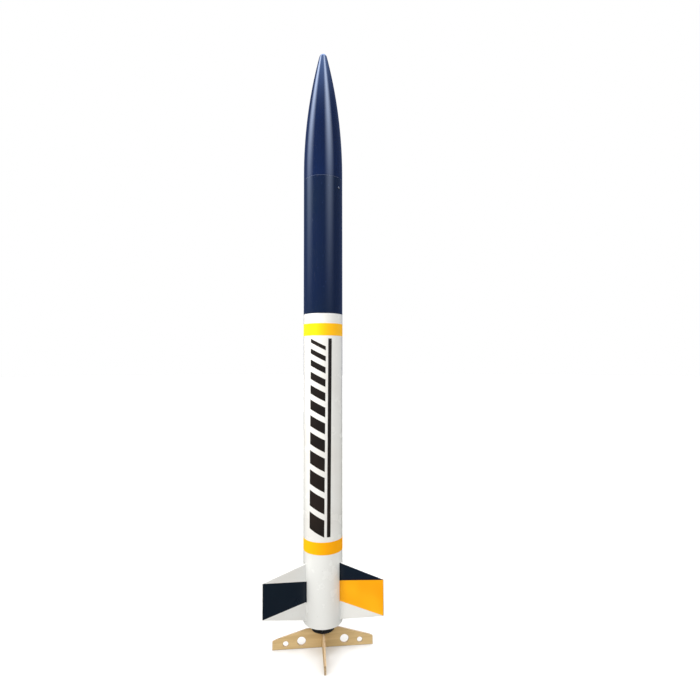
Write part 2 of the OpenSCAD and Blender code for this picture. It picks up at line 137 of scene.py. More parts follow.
class Bench:
    """A node tree being wired: one method places any node, and the rest are short cuts to it."""

    def __init__(self, tree: bpy.types.NodeTree) -> None:
        """Clears the tree and keeps it."""
        self.tree = tree
        tree.nodes.clear()

    def node(
        self,
        kind: str,
        settings: Mapping[str, object] | None = None,
        inputs: Mapping[int | str, object] | None = None,
        output: int | str = 0,
    ) -> Wire:
        """Places a node.

        Args:
            kind: The node's type.
            settings: Its properties, which are set first. The stops of a ramp are given as "stops".
            inputs: The values or wires of its sockets.
            output: The output to return.

        Returns:
            The wire of that output.
        """
        made = self.tree.nodes.new(kind)
        for name, value in (settings or {}).items():
            if name == "stops":
                self._set_stops(made.color_ramp, value)
            else:
                setattr(made, name, value)
        for name, value in (inputs or {}).items():
            if isinstance(value, Wire):
                self.tree.links.new(value.socket, made.inputs[name])
            else:
                made.inputs[name].default_value = value
        return Wire(self, made.outputs[output] if made.outputs else None)

    @staticmethod
    def _set_stops(ramp: bpy.types.ColorRamp, stops: Sequence[tuple[float, Colour]]) -> None:
        """Gives a ramp its stops.

        Args:
            ramp: The ramp.
            stops: The places and colours, in order.
        """
        while len(ramp.elements) < len(stops):
            ramp.elements.new(1.0)
        for element, (place, colour) in zip(ramp.elements, stops):
            element.position = place
            element.color = colour

    def math(self, operation: str, *values: "Wire | float") -> Wire:
        """A Math node."""
        return self.node("ShaderNodeMath", {"operation": operation}, dict(enumerate(values)))

    def place(self, scale: tuple = (1.0, 1.0, 1.0), turn: float = 0.0) -> Wire:
        """Object coordinates, turned about Z by some degrees and then stretched.

        Args:
            scale: The stretch along each axis.
            turn: The turn about Z, in degrees.

        Returns:
            The wire of the coordinates.
        """
        at = self.node("ShaderNodeTexCoord", output="Object")
        if turn:
            at = self.node("ShaderNodeMapping", {}, {"Vector": at, "Rotation": (0, 0, math.radians(turn))})
        return self.node("ShaderNodeVectorMath", {"operation": "MULTIPLY"}, {0: at, 1: scale})

    def axes(self, at: Wire) -> tuple[Wire, Wire, Wire]:
        """The three coordinates of a vector."""
        split = self.node("ShaderNodeSeparateXYZ", {}, {0: at}).socket.node
        return tuple(Wire(self, socket) for socket in split.outputs)

    def around(self) -> tuple[Wire, Wire]:
        """The angle about Z, in turns, and the height."""
        x, y, z = self.axes(self.place())
        return self.math("ARCTAN2", y, x) / FULL_TURN, z

    def noise(self, at: Wire, scale: float, detail: float = 3.0, twist: float = 0.0) -> Wire:
        """Noise from 0 to 1.

        Args:
            at: The coordinates.
            scale: Features per metre.
            detail: The number of finer layers.
            twist: The distortion.

        Returns:
            The wire of the noise.
        """
        inputs = {"Vector": at, "Scale": scale, "Detail": detail, "Distortion": twist}
        return self.node("ShaderNodeTexNoise", {}, inputs)

    def step(self, value: Wire, low: float, high: float) -> Wire:
        """A smooth step from 0 at low to 1 at high."""
        inputs = {0: value, 1: low, 2: high}
        return self.node("ShaderNodeMapRange", {"interpolation_type": "SMOOTHSTEP"}, inputs)

    def line(self, value: Wire, width: float) -> Wire:
        """1 on a thin line at each whole number of value, and 0 between."""
        away = abs(self.math("FRACT", value) - 0.5)
        return self.step(away, 0.5 - width, 0.5)

    def mix(self, share: "Wire | float", first: object, second: object, blend: str = "MIX") -> Wire:
        """Mixes two colours.

        Args:
            share: The share of the second colour.
            first: A colour or its wire.
            second: A colour or its wire.
            blend: The way to blend them.

        Returns:
            The wire of the mixed colour.
        """
        settings = {"data_type": "RGBA", "blend_type": blend}
        return self.node("ShaderNodeMix", settings, {0: share, 6: first, 7: second}, 2)

    def bump(self, height: Wire, depth: float, under: Wire | None = None) -> Wire:
        """A Bump node.

        Args:
            height: The relief, from 0 to 1.
            depth: Its depth in metres.
            under: Another bump that this one is laid on.

        Returns:
            The wire of the normal.
        """
        inputs = {"Height": height, "Distance": depth, "Strength": 1.0}
        if under is not None:
            inputs["Normal"] = under
        return self.node("ShaderNodeBump", {}, inputs)

    def surface(self, colour: Wire, roughness: "Wire | float", normal: Wire, **fixed: float) -> None:
        """Ends the tree in a Principled surface.

        Args:
            colour: The wire of the base colour.
            roughness: The roughness or its wire.
            normal: The wire of the normal.
            fixed: Other sockets by name, with _ for a space, and values that are the same all over.
        """
        inputs = {"Base Color": colour, "Roughness": roughness, "Normal": normal}
        inputs.update({name.replace("_", " "): value for name, value in fixed.items()})
        shader = self.node("ShaderNodeBsdfPrincipled", {}, inputs)
        self.node("ShaderNodeOutputMaterial", {}, {"Surface": shader})


# ---------------------------------------------------------------- finishes


@dataclass(frozen=True)
class Finish:
    """A surface finish, which becomes a material the first time that it is asked for."""

    name: str

    def material(self) -> bpy.types.Material:
        """The finish's material, made once.

        Returns:
            The material.
        """
        found = bpy.data.materials.get(self.name)
        if found is None:
            found = bpy.data.materials.new(self.name)
            found.use_nodes = True
            self.lay(Bench(found.node_tree))
        return found

    def lay(self, bench: Bench) -> None:
        """Wires the finish on a bench."""
        raise NotImplementedError


@dataclass(frozen=True)
class GlossPaint(Finish):
    """Sprayed gloss paint, with orange peel, a few specks, and what shows through from below."""

    colour: Colour
    shade: Colour
    speck: Colour
    roughness: float = 0.2
    coat: float = 0.6
    seam_pitch: float = 0.0
    grain_turn: float | None = None

    def lay(self, bench: Bench) -> None:
        """Wires the finish on a bench.

        Args:
            bench: The bench of the material's node tree.
        """
        at = bench.place()
        cloud = bench.noise(at, 7.0, 2.0)
        colour = bench.mix(bench.step(cloud, 0.35, 0.75), self.colour, self.shade)
        dust = bench.step(bench.noise(at, 420.0, 1.0), 0.755, 0.79)
        colour = bench.mix(dust * 0.5, colour, self.speck)
        normal = bench.bump(bench.noise(at, 260.0, 2.0), 0.02 * MM)
        if self.seam_pitch:
            angle, z = bench.around()
            seam = bench.line(z / self.seam_pitch + angle, 0.006)
            colour = bench.mix(seam * 0.12, colour, self.shade)
            normal = bench.bump(1 - seam, 0.05 * MM, normal)
        if self.grain_turn is not None:
            grain = bench.noise(bench.place((3.0, 60.0, 60.0), self.grain_turn), 12.0, 4.0)
            normal = bench.bump(grain, 0.03 * MM, normal)
        roughness = self.roughness + 0.12 * bench.noise(at, 34.0, 3.0)
        bench.surface(colour, roughness, normal, IOR=1.5, Coat_Weight=self.coat, Coat_Roughness=0.04)


@dataclass(frozen=True)
class Vinyl(Finish):
    """Cut vinyl film: an even colour with a fine leathery face and a few trapped bubbles. A lighter colour
    may be painted across its left side, as painted light from the left.
    """

    colour: Colour
    shade: Colour
    roughness: float = 0.3
    lit_side: Colour | None = None

    def lay(self, bench: Bench) -> None:
        """Wires the finish on a bench.

        Args:
            bench: The bench of the material's node tree.
        """
        at = bench.place()
        cloud = bench.noise(at, 14.0, 3.0)
        colour = bench.mix(bench.step(cloud, 0.3, 0.8), self.colour, self.shade)
        # Painted light: the left side, where the light falls, is painted towards the lighter, yellower
        # colour.
        if self.lit_side:
            colour = bench.mix(bench.step(-1 * bench.axes(at)[0], -20 * MM, 52 * MM), colour, self.lit_side)
        skin = bench.noise(at, 900.0, 2.0)
        bubble = bench.step(bench.noise(at, 95.0, 1.0), 0.72, 0.78)
        normal = bench.bump(bubble, 0.04 * MM, bench.bump(skin, 0.012 * MM))
        roughness = self.roughness + 0.15 * bench.noise(at, 50.0, 3.0)
        bench.surface(colour, roughness, normal, IOR=1.48, Specular_IOR_Level=0.2)


@dataclass(frozen=True)
class PlywoodFace(Finish):
    """The face veneer of thin birch plywood, browned beside a cut edge."""

    turn: float = 0.0
    colour: Colour = screen(220, 190, 138)
    dark: Colour = screen(194, 162, 110)
    burn: Colour = screen(98, 66, 38)

    def lay(self, bench: Bench) -> None:
        """Wires the finish on a bench.

        Args:
            bench: The bench of the material's node tree.
        """
        fibre = bench.noise(bench.place((7.0, 240.0, 240.0), self.turn), 4.0, 5.0, 0.3)
        figure = bench.noise(bench.place((1.6, 22.0, 22.0), self.turn), 3.2, 3.0, 0.8)
        colour = bench.mix(bench.step(figure, 0.3, 0.72) * 0.75, self.colour, self.dark)
        colour = bench.mix(bench.step(fibre, 0.5, 0.75) * 0.4, colour, self.dark)
        pore = bench.step(bench.noise(bench.place((30.0, 900.0, 900.0), self.turn), 2.0, 2.0), 0.68, 0.74)
        colour = bench.mix(pore * 0.35, colour, self.burn)
        rim = bench.node("ShaderNodeAttribute", {"attribute_name": "burn"}, {}, "Fac")
        smoke = bench.step(rim + 0.5 * (bench.noise(bench.place(), 130.0, 3.0) - 0.5), 0.25, 1.0)
        colour = bench.mix(smoke * 0.5, colour, self.burn)
        normal = bench.bump(pore, -0.05 * MM, bench.bump(fibre, 0.06 * MM))
        bench.surface(colour, 0.5 + 0.2 * fibre, normal, IOR=1.45)


@dataclass(frozen=True)
class PlywoodEdge(Finish):
    """The cut edge of plywood, where the plies show as stripes across the board."""

    turn: float = 0.0
    ply: float = 1.27 * MM
    upright: bool = False
    light: Colour = screen(208, 184, 150)
    dark: Colour = screen(154, 124, 92)

    def lay(self, bench: Bench) -> None:
        """Wires the finish on a bench.

        Args:
            bench: The bench of the material's node tree.
        """
        x, y, z = bench.axes(bench.place(turn=self.turn))
        across = z if self.upright else y
        layer = abs(bench.math("FRACT", across / (2 * self.ply) + 0.25) - 0.5) * 2
        colour = bench.mix(bench.step(layer, 0.42, 0.58), self.light, self.dark)
        glue = 1 - bench.step(abs(layer - 0.5), 0.0, 0.12)
        colour = bench.mix(glue * 0.5, colour, self.dark)
        char = bench.noise(bench.place(), 160.0, 4.0)
        colour = bench.mix(bench.step(char, 0.5, 0.8) * 0.5, colour, screen(88, 62, 40))
        normal = bench.bump(char, 0.08 * MM, bench.bump(layer, 0.05 * MM))
        bench.surface(colour, 0.6 + 0.25 * char, normal, IOR=1.45)


@dataclass(frozen=True)
class Kraft(Finish):
    """Spiral-wound brown paper tube, with the butted edges of its outer strip."""

    pitch: float = 92 * MM
    colour: Colour = screen(176, 132, 88)
    dark: Colour = screen(146, 104, 66)

    def lay(self, bench: Bench) -> None:
        """Wires the finish on a bench.

        Args:
            bench: The bench of the material's node tree.
        """
        angle, z = bench.around()
        at = bench.place()
        fibre = bench.noise(bench.place((420.0, 420.0, 90.0)), 3.0, 4.0, 0.6)
        cloud = bench.noise(at, 16.0, 3.0)
        colour = bench.mix(bench.step(cloud, 0.3, 0.7) * 0.6, self.colour, self.dark)
        colour = bench.mix(bench.step(fibre, 0.52, 0.7) * 0.35, colour, self.dark)
        seam = bench.line(z / self.pitch + angle, 0.008)
        colour = bench.mix(seam * 0.6, colour, screen(104, 70, 42))
        normal = bench.bump(1 - seam, 0.12 * MM, bench.bump(fibre, 0.03 * MM))
        bench.surface(colour, 0.5 + 0.25 * fibre, normal, IOR=1.42)


@dataclass(frozen=True)
class Anodised(Finish):
    """Turned and black-anodised aluminium, with fine tool rings and a few rubbed places."""

    colour: Colour = screen(32, 33, 32)

    def lay(self, bench: Bench) -> None:
        """Wires the finish on a bench.

        Args:
            bench: The bench of the material's node tree.
        """
        at = bench.place()
        rings = bench.noise(bench.place((4.0, 4.0, 2600.0)), 1.0, 2.0)
        rubbed = bench.step(bench.noise(at, 190.0, 4.0), 0.63, 0.72)
        cloud = bench.noise(at, 40.0, 3.0)
        colour = bench.mix(cloud * 0.4, self.colour, screen(44, 44, 40))
        colour = bench.mix(rubbed * 0.35, colour, screen(120, 120, 116))
        normal = bench.bump(rings, 0.02 * MM)
        bench.surface(colour, 0.32 + 0.2 * rings, normal, Metallic=0.55, IOR=1.6)


@dataclass(frozen=True)
class Zinc(Finish):
    """Bright zinc plate on steel, faintly yellow and blue, dulled in patches."""

    def lay(self, bench: Bench) -> None:
        """Wires the finish on a bench.

        Args:
            bench: The bench of the material's node tree.
        """
        at = bench.place()
        tint = bench.noise(at, 130.0, 2.0)
        colour = bench.mix(tint, screen(206, 205, 190), screen(180, 190, 204))
        dull = bench.step(bench.noise(at, 320.0, 4.0), 0.5, 0.7)
        colour = bench.mix(dull * 0.4, colour, screen(142, 142, 138))
        normal = bench.bump(bench.noise(at, 900.0, 3.0), 0.015 * MM)
        bench.surface(colour, 0.22 + 0.3 * dull, normal, Metallic=1.0)


@dataclass(frozen=True)
class ScrewSteel(Finish):
    """The dull steel of a small screw, with a few darker places."""

    def lay(self, bench: Bench) -> None:
        """Wires the finish on a bench.

        Args:
            bench: The bench of the material's node tree.
        """
        at = bench.place()
        worn = bench.step(bench.noise(at, 1400.0, 3.0), 0.58, 0.7)
        colour = bench.mix(worn * 0.5, screen(138, 141, 148), screen(84, 84, 84))
        normal = bench.bump(bench.noise(at, 2400.0, 2.0), 0.01 * MM)
        bench.surface(colour, 0.42 + 0.2 * worn, normal, Metallic=0.6)


@dataclass(frozen=True)
class Ripstop(Finish):
    """Thin ripstop nylon: a plain weave crossed by a grid of thicker threads, darkened along its folds as
    painted shade.
    """

    colour: Colour = screen(232, 104, 28)
    dark: Colour = screen(188, 74, 16)
    grid: float = 5 * MM
    radius: float = 36 * MM

    def lay(self, bench: Bench) -> None:
        """Wires the finish on a bench.

        Args:
            bench: The bench of the material's node tree.
        """
        angle, z = bench.around()
        arc = angle * (FULL_TURN * self.radius)
        threads = bench.math("MAXIMUM", bench.line(arc / self.grid, 0.07), bench.line(z / self.grid, 0.07))
        fold_shade_and_relief = bench.noise(bench.place((60.0, 60.0, 14.0)), 1.0, 4.0, 0.7)
        # Painted shade: the noise that raises the folds also darkens the colour there.
        colour = bench.mix(bench.step(fold_shade_and_relief, 0.35, 0.7), self.colour, self.dark)
        colour = bench.mix(threads * 0.45, colour, self.dark)
        normal = bench.bump(threads, 0.08 * MM, bench.bump(fold_shade_and_relief, 0.6 * MM))
        bench.surface(colour, 0.42 + 0.15 * fold_shade_and_relief, normal, Sheen_Weight=0.25, Sheen_Roughness=0.4)


@dataclass(frozen=True)
class WovenCloth(Finish):
    """Flameproof cotton in a plain weave, with scorched patches."""

    colour: Colour = screen(196, 178, 128)
    dark: Colour = screen(150, 130, 86)
    thread: float = 0.9 * MM
    radius: float = 39 * MM

    def lay(self, bench: Bench) -> None:
        """Wires the finish on a bench.

        Args:
            bench: The bench of the material's node tree.
        """
        angle, z = bench.around()
        across = bench.math("SINE", angle * (FULL_TURN * FULL_TURN * self.radius / self.thread))
        along = bench.math("SINE", z * (FULL_TURN / self.thread))
        weave = 0.5 + 0.5 * (across * along)
        stain = bench.noise(bench.place(), 26.0, 4.0)
        colour = bench.mix(weave * 0.5, self.colour, self.dark)
        colour = bench.mix(bench.step(stain, 0.55, 0.8) * 0.7, colour, screen(96, 80, 58))
        normal = bench.bump(weave, 0.12 * MM)
        bench.surface(colour, 0.8 + 0.1 * stain, normal, Sheen_Weight=0.3)


@dataclass(frozen=True)
class MouldedPlastic(Finish):
    """Moulded plastic, buffed or plain, with the line where the two halves of the mould met."""

    colour: Colour
    shade: Colour
    roughness: float = 0.16
    coat: float = 0.5
    split_turn: float = 0.0

    def lay(self, bench: Bench) -> None:
        """Wires the finish on a bench.

        Args:
            bench: The bench of the material's node tree.
        """
        at = bench.place()
        x, y, z = bench.axes(bench.place(turn=self.split_turn))
        cloud = bench.noise(at, 10.0, 2.0)
        colour = bench.mix(bench.step(cloud, 0.3, 0.75), self.colour, self.shade)
        split = 1 - bench.step(abs(y), 0.1 * MM, 0.5 * MM)
        swirl = bench.noise(bench.place((120.0, 120.0, 20.0)), 1.0, 3.0)
        normal = bench.bump(split, 0.03 * MM, bench.bump(swirl, 0.02 * MM))
        roughness = self.roughness + 0.1 * bench.noise(at, 60.0, 3.0)
        bench.surface(colour, roughness, normal, IOR=1.52, Coat_Weight=self.coat, Coat_Roughness=0.03)


@dataclass(frozen=True)
class PaleFloor(Finish):
    """A plain pale floor that is close to white."""

    def lay(self, bench: Bench) -> None:
        """Wires the finish on a bench.

        Args:
            bench: The bench of the material's node tree.
        """
        mottle = bench.noise(bench.place(), 3.0, 2.0)
        pale = bench.mix(mottle, (0.74, 0.74, 0.74, 1.0), (0.76, 0.76, 0.76, 1.0))
        dull = bench.mix(mottle, (0.11, 0.11, 0.105, 1.0), (0.13, 0.13, 0.125, 1.0))
        glow = bench.node("ShaderNodeEmission", {}, {"Color": (1.0, 1.0, 1.0, 1.0), "Strength": 0.03})
        lit = bench.node("ShaderNodeBsdfDiffuse", {}, {"Color": pale})
        seen = bench.node("ShaderNodeAddShader", {}, {0: glow, 1: lit})
        unseen = bench.node("ShaderNodeBsdfDiffuse", {}, {"Color": dull})
        eye = bench.node("ShaderNodeLightPath", output="Is Camera Ray")
        shader = bench.node("ShaderNodeMixShader", {}, {0: eye, 1: unseen, 2: seen})
        bench.node("ShaderNodeOutputMaterial", {}, {"Surface": shader})


WHITE = screen(226, 226, 223)
WHITE_SHADE = screen(219, 216, 211)
NAVY = screen(11, 22, 36)
YELLOW = screen(236, 156, 1)

TUBE_WHITE = GlossPaint("white tube paint", WHITE, WHITE_SHADE, screen(150, 140, 126), seam_pitch=150 * MM)
TUBE_NAVY = GlossPaint(
    "navy tube paint", screen(12, 25, 54), screen(14, 28, 50), screen(70, 84, 120), 0.06, 1.0, 150 * MM
)
# The top rim of the payload tube, under the nose cone, is painted a pale bluish grey.
SEAM_RIM_GREY = GlossPaint(
    "pale seam rim", screen(132, 138, 152), screen(120, 126, 142), screen(80, 80, 86), 0.4, 0.0,
)
LUG_WHITE = GlossPaint("white lug paint", WHITE, WHITE_SHADE, screen(150, 140, 126))
# Painted light: the upper band is a lighter, yellower copy of the lower band's vinyl because it is better
# lit, and the last colour of each band paints its left side lighter.
GOLD_VINYL = Vinyl("gold vinyl", screen(240, 160, 1), screen(241, 165, 2), 0.4, screen(240, 182, 4))
LIT_UPPER_VINYL = Vinyl("lit upper vinyl", screen(244, 180, 1), screen(245, 184, 2), 0.4, screen(244, 212, 8))
BLACK_VINYL = Vinyl("black vinyl", screen(30, 26, 24), screen(40, 32, 28), 0.34)
BROWN_PAPER = Kraft("brown paper tube")
RING_FACE = PlywoodFace("ring plywood face", 25.0)
RING_EDGE = PlywoodEdge("ring plywood edge", upright=True)
BLACK_METAL = Anodised("black retainer metal")
BRIGHT_ZINC = Zinc("bright zinc")
SCREW_STEEL = ScrewSteel("dull screw steel")
CHUTE_NYLON = Ripstop("orange ripstop nylon")
CHUTE_CLOTH = WovenCloth("flameproof cloth")
NOSE_NAVY = MouldedPlastic("navy nose plastic", screen(12, 25, 56), screen(12, 27, 62), 0.03, 1.0, 20.0)
PLUG_BLACK = MouldedPlastic("black plug plastic", screen(26, 26, 28), screen(36, 36, 38), 0.4, 0.0)


class FinSide(Enum):
    """The two sides of a fin, by the way that they face round the rocket."""

    ANTICLOCKWISE = 1
    CLOCKWISE = -1


# ---------------------------------------------------------------- mesh work


def arc(centre: Point, radius: float, start: float, end: float, steps: int) -> list[Point]:
    """Points along an arc in the plane of a profile.

    Args:
        centre: The centre, as distance from the axis and height.
        radius: The radius.
        start: The first angle, in radians from straight out.
        end: The last angle.
        steps: The number of steps.

    Returns:
        steps + 1 points.
    """
    angles = [start + (end - start) * i / steps for i in range(steps + 1)]
    return [(centre[0] + radius * math.cos(a), centre[1] + radius * math.sin(a)) for a in angles]


class Blank:
    """A mesh in the making: a few vertices that mesh operators shape into a piece."""

    def __init__(self) -> None:
        """Starts empty."""
        self.mesh = bmesh.new()

    @classmethod
    def lathe(cls, profile: Sequence[Point], steps: int = ROUND_STEPS) -> "Blank":
        """Turns a closed profile about Z.

        Args:
            profile: Distances from the axis and heights. Its ends may lie on the axis.
            steps: The number of steps in a full turn.

        Returns:
            The turned solid.
        """
        blank = cls()
        bm = blank.mesh
        points = [bm.verts.new((r, 0.0, z)) for r, z in profile]
        ends = zip(points, points[1:] + points[:1])
        edges = [bm.edges.new(pair) for pair in ends if pair[0].co.x + pair[1].co.x > MERGE]
        bmesh.ops.spin(
            bm, geom=points + edges, cent=(0, 0, 0), axis=(0, 0, 1), angle=FULL_TURN,
            steps=steps, use_merge=True,
        )
        bmesh.ops.remove_doubles(bm, verts=bm.verts[:], dist=MERGE)
        return blank.outwards()

    @classmethod
    def wall(cls, outer: float, inner: float, low: float, high: float, steps: int = ROUND_STEPS) -> "Blank":
        """A plain tube wall between two radii and two heights."""
        return cls.lathe([(outer, low), (outer, high), (inner, high), (inner, low)], steps)

    @classmethod
    def plate(cls, outline: Sequence[Point], holes: Sequence[tuple[Point, float]] = ()) -> "Blank":
        """A flat plate in the XZ plane.

        Args:
            outline: The corners, as X and Z.
            holes: The centre and radius of each round hole.

        Returns:
            The plate, with no thickness yet.
        """
        blank = cls()
        bm = blank.mesh
        corners = [bm.verts.new((x, 0.0, z)) for x, z in outline]
        for pair in zip(corners, corners[1:] + corners[:1]):
            bm.edges.new(pair)
        upright = Matrix.Rotation(math.pi / 2, 4, "X")
        for (x, z), radius in holes:
            there = Matrix.Translation((x, 0.0, z)) @ upright
            bmesh.ops.create_circle(bm, segments=HOLE_STEPS, radius=radius, matrix=there)
        if holes:
            bmesh.ops.triangle_fill(bm, use_beauty=True, edges=bm.edges[:])
        else:
            bmesh.ops.edgeloop_fill(bm, edges=bm.edges[:])
        return blank

    @classmethod
    def copy_of(cls, node: str) -> "Blank":
        """A merged copy of a CAD node's mesh.

        Args:
            node: The node's name.

        Returns:
            The copy.
        """
        blank = cls()
        blank.mesh.from_mesh(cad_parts[node].data)
        bmesh.ops.remove_doubles(blank.mesh, verts=blank.mesh.verts[:], dist=1e-6)
        return blank

    def outwards(self) -> "Blank":
        """Turns every face outwards."""
        bmesh.ops.recalc_face_normals(self.mesh, faces=self.mesh.faces[:])
        return self

    def join(self, other: "Blank") -> "Blank":
        """Adds another blank's mesh to this one.

        Args:
            other: The other blank.

        Returns:
            This blank.
        """
        spare = bpy.data.meshes.new("spare")
        other.mesh.to_mesh(spare)
        self.mesh.from_mesh(spare)
        bpy.data.meshes.remove(spare)
        return self

    def scorch(self, width: float) -> "Blank":
        """Insets a flat plate's rim and marks it as burnt, for the plywood finish.

        Args:
            width: The width of the browned rim.

        Returns:
            The blank itself.
        """
        bm = self.mesh
        bmesh.ops.inset_region(
            bm, faces=bm.faces[:], thickness=width, use_boundary=True, use_even_offset=True,
        )
        layer = bm.verts.layers.float.new("burn")
        for vert in bm.verts:
            vert[layer] = 1.0 if vert.is_boundary else 0.0
        return self

    def thicken(self, thickness: float) -> "Blank":
        """Gives a flat plate in the XZ plane its thickness, half on each side.

        Args:
            thickness: The thickness.

        Returns:
            This blank.
        """
        bm = self.mesh
        bmesh.ops.translate(bm, vec=(0, -thickness / 2, 0), verts=bm.verts[:])
        grown = bmesh.ops.extrude_face_region(bm, geom=bm.faces[:])["geom"]
        lifted = [part for part in grown if isinstance(part, bmesh.types.BMVert)]
        bmesh.ops.translate(bm, vec=(0, thickness, 0), verts=lifted)
        return self.outwards()

    def cut(self, point: tuple, normal: tuple, keep_all: bool = True) -> "Blank":
        """Cuts the mesh with a plane, and closes the cut where one side is dropped.

        Args:
            point: A point on the plane.
            normal: The plane's normal.
            keep_all: Keeps both sides. Otherwise the side that the normal points to goes.

        Returns:
            The blank itself.
        """
        bm = self.mesh
        every = bm.verts[:] + bm.edges[:] + bm.faces[:]
        made = bmesh.ops.bisect_plane(
            bm, geom=every, dist=MERGE, plane_co=point, plane_no=normal, clear_outer=not keep_all
        )
        if not keep_all:
            rim = [part for part in made["geom_cut"] if isinstance(part, bmesh.types.BMEdge)]
            bmesh.ops.holes_fill(bm, edges=rim)
        return self

    def soften(
        self, width: float, segments: int = 2, rule: Callable[[bmesh.types.BMEdge], bool] | None = None
    ) -> "Blank":
        """Rounds the sharp edges.

        Args:
            width: The width of the rounding.
            segments: Its segments.
            rule: Which of the sharp edges to round. All of them, if it isn't given.

        Returns:
            The blank itself.
        """
        sharp = [
            edge
            for edge in self.mesh.edges
            if len(edge.link_faces) == 2
            and edge.calc_face_angle(0.0) > CORNER
            and (rule is None or rule(edge))
        ]
        bmesh.ops.bevel(
            self.mesh, geom=sharp, offset=width, offset_type="OFFSET", segments=segments, profile=0.5,
            affect="EDGES", material=-1, clamp_overlap=True,
        )
        return self

    def paint(self, rule: Callable[[bmesh.types.BMFace], int]) -> "Blank":
        """Gives each face the number of its finish.

        Args:
            rule: Gives the number of the finish of a face.

        Returns:
            This blank.
        """
        self.mesh.normal_update()
        for face in self.mesh.faces:
            face.material_index = rule(face)
        return self

    def turn(self, degrees: float, axis: str = "Z") -> "Blank":
        """Turns the blank about an axis through the origin.

        Args:
            degrees: The angle.
            axis: X, Y or Z.

        Returns:
            This blank.
        """
        about = Matrix.Rotation(math.radians(degrees), 3, axis)
        bmesh.ops.rotate(self.mesh, cent=(0, 0, 0), matrix=about, verts=self.mesh.verts[:])
        return self

    def move(self, x: float = 0.0, y: float = 0.0, z: float = 0.0) -> "Blank":
        """Moves the blank."""
        bmesh.ops.translate(self.mesh, vec=(x, y, z), verts=self.mesh.verts[:])
        return self

    def piece(
        self, name: str, body: str, slot: str, finishes: Sequence[Finish], replaces: Sequence[str] = ()
    ) -> bpy.types.Object:
        """Makes the blank into a finished piece of the object.

        Args:
            name: The piece's name.
            body: The body that it rides on.
            slot: The record's material slot. It is not used.
            finishes: Its finishes, in the order of the numbers on its faces.
            replaces: The CAD nodes that it stands for.

        Returns:
            The new object.
        """
        data = bpy.data.meshes.new(name)
        self.mesh.to_mesh(data)
        self.mesh.free()
        for finish in finishes:
            data.materials.append(finish.material())
        data.shade_smooth()
        data.set_sharp_from_angle(angle=math.radians(40))
        made = bpy.data.objects.new(name, data)
        bpy.context.scene.collection.objects.link(made)
        even = made.modifiers.new("even shading", "WEIGHTED_NORMAL")
        even.keep_sharp = True
        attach(made, body)
        if replaces:
            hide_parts(*replaces)
        LOG.info("%s: %d faces, on %s", name, len(data.polygons), body)
        return made


def dress(node: str, finish: Finish) -> None:
    """Gives a CAD node that stays in view or inside a better material.

    Args:
        node: The node's name.
        finish: The finish.
    """
    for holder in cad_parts[node].material_slots:
        holder.material = finish.material()
    LOG.info("%s: CAD piece, %s", node, finish.name)


def heights(node: str) -> Point:
    """The lowest and highest point of a CAD node."""
    low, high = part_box(node)
    return low.z, high.z


def outer_radius(node: str) -> float:
    """Half the width of a round CAD node."""
    low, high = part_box(node)
    return (high.x - low.x) / 2


# ---------------------------------------------------------------- the rocket


@dataclass
class DisplayStand:
    """Two crossed plywood plates, slotted together, whose tangs go up into the motor tube."""

    thickness: float = 4.8 * MM
    wide_reach: float = 129 * MM
    cross_reach: float = 114 * MM
    flat_top: float = 48 * MM
    flat_reach: float = 42 * MM
    end_height: float = 21 * MM
    corner: Point = (9.5 * MM, 4.5 * MM)
    tang_half: float = 18.38 * MM
    slot_play: float = 0.2 * MM
    big_hole: tuple = ((55 * MM, 18.5 * MM), 11 * MM)
    small_hole: tuple = ((95 * MM, 13.5 * MM), 7 * MM)
    turned: float = 2.0
    burn_width: float = 1.6 * MM

    def outline(self, reach: float, notch_below: bool) -> list[Point]:
        """The corners of one plate.

        Args:
            reach: How far its legs reach from the axis.
            notch_below: Whether its slot opens at the foot, or at the top of the tang.

        Returns:
            The corners in order.
        """
        top = heights("stand_plate_wide")[1]
        lap, half = top / 2, (self.thickness + self.slot_play) / 2
        slope_x, slope_z = reach - self.corner[0], self.end_height + self.corner[1]
        right = [
            (reach, 0.0), (reach, self.end_height), (slope_x, slope_z),
            (self.flat_reach, self.flat_top), (self.tang_half, self.flat_top), (self.tang_half, top),
        ]
        if notch_below:
            right = [(half, lap), (half, 0.0)] + right
        else:
            right = right + [(half, top), (half, lap)]
        return right + [(-x, z) for x, z in reversed(right)]

    def plate(self, node: str, reach: float, turn: float, notch_below: bool) -> None:
        """Builds one plate.

        Args:
            node: The CAD node that it stands for.
            reach: How far its legs reach from the axis.
            turn: Its turn about the rocket's axis, in degrees.
            notch_below: Whether its slot opens at the foot.
        """
        holes = [
            ((side * x, z), radius)
            for side in (-1, 1)
            for (x, z), radius in (self.big_hole, self.small_hole)
        ]
        blank = Blank.plate(self.outline(reach, notch_below), holes)
        blank.scorch(self.burn_width).thicken(self.thickness)
        blank.soften(0.25 * MM).paint(lambda face: 0 if abs(face.normal.y) > 0.9 else 1).turn(turn)
        finishes = [PlywoodFace(f"{node} face", -turn), PlywoodEdge(f"{node} edge", -turn)]
        blank.piece(f"{node}_board", "stand", "stand_ply", finishes, [node])

    def build(self) -> None:
        """Builds both plates."""
        self.plate("stand_plate_wide", self.wide_reach, self.turned, True)
        self.plate("stand_plate_cross", self.cross_reach, self.turned + 90, False)


@dataclass
class BoosterTube:
    """The white airframe tube of the booster."""

    wall: float = 1.27 * MM
    rim_round: float = 0.35 * MM

    def build(self) -> None:
        """Builds the tube, painted outside and bare paper inside."""
        low, high = heights("booster_tube")
        radius = outer_radius("booster_tube")
        middle = radius - self.wall * 0.6
        blank = Blank.wall(radius, radius - self.wall, low, high).soften(self.rim_round)
        blank.paint(lambda face: 0 if face.calc_center_median().xy.length > middle else 1)
        finishes = [TUBE_WHITE, BROWN_PAPER]
        blank.piece("booster_airframe", "booster", "white_paint", finishes, ["booster_tube"])


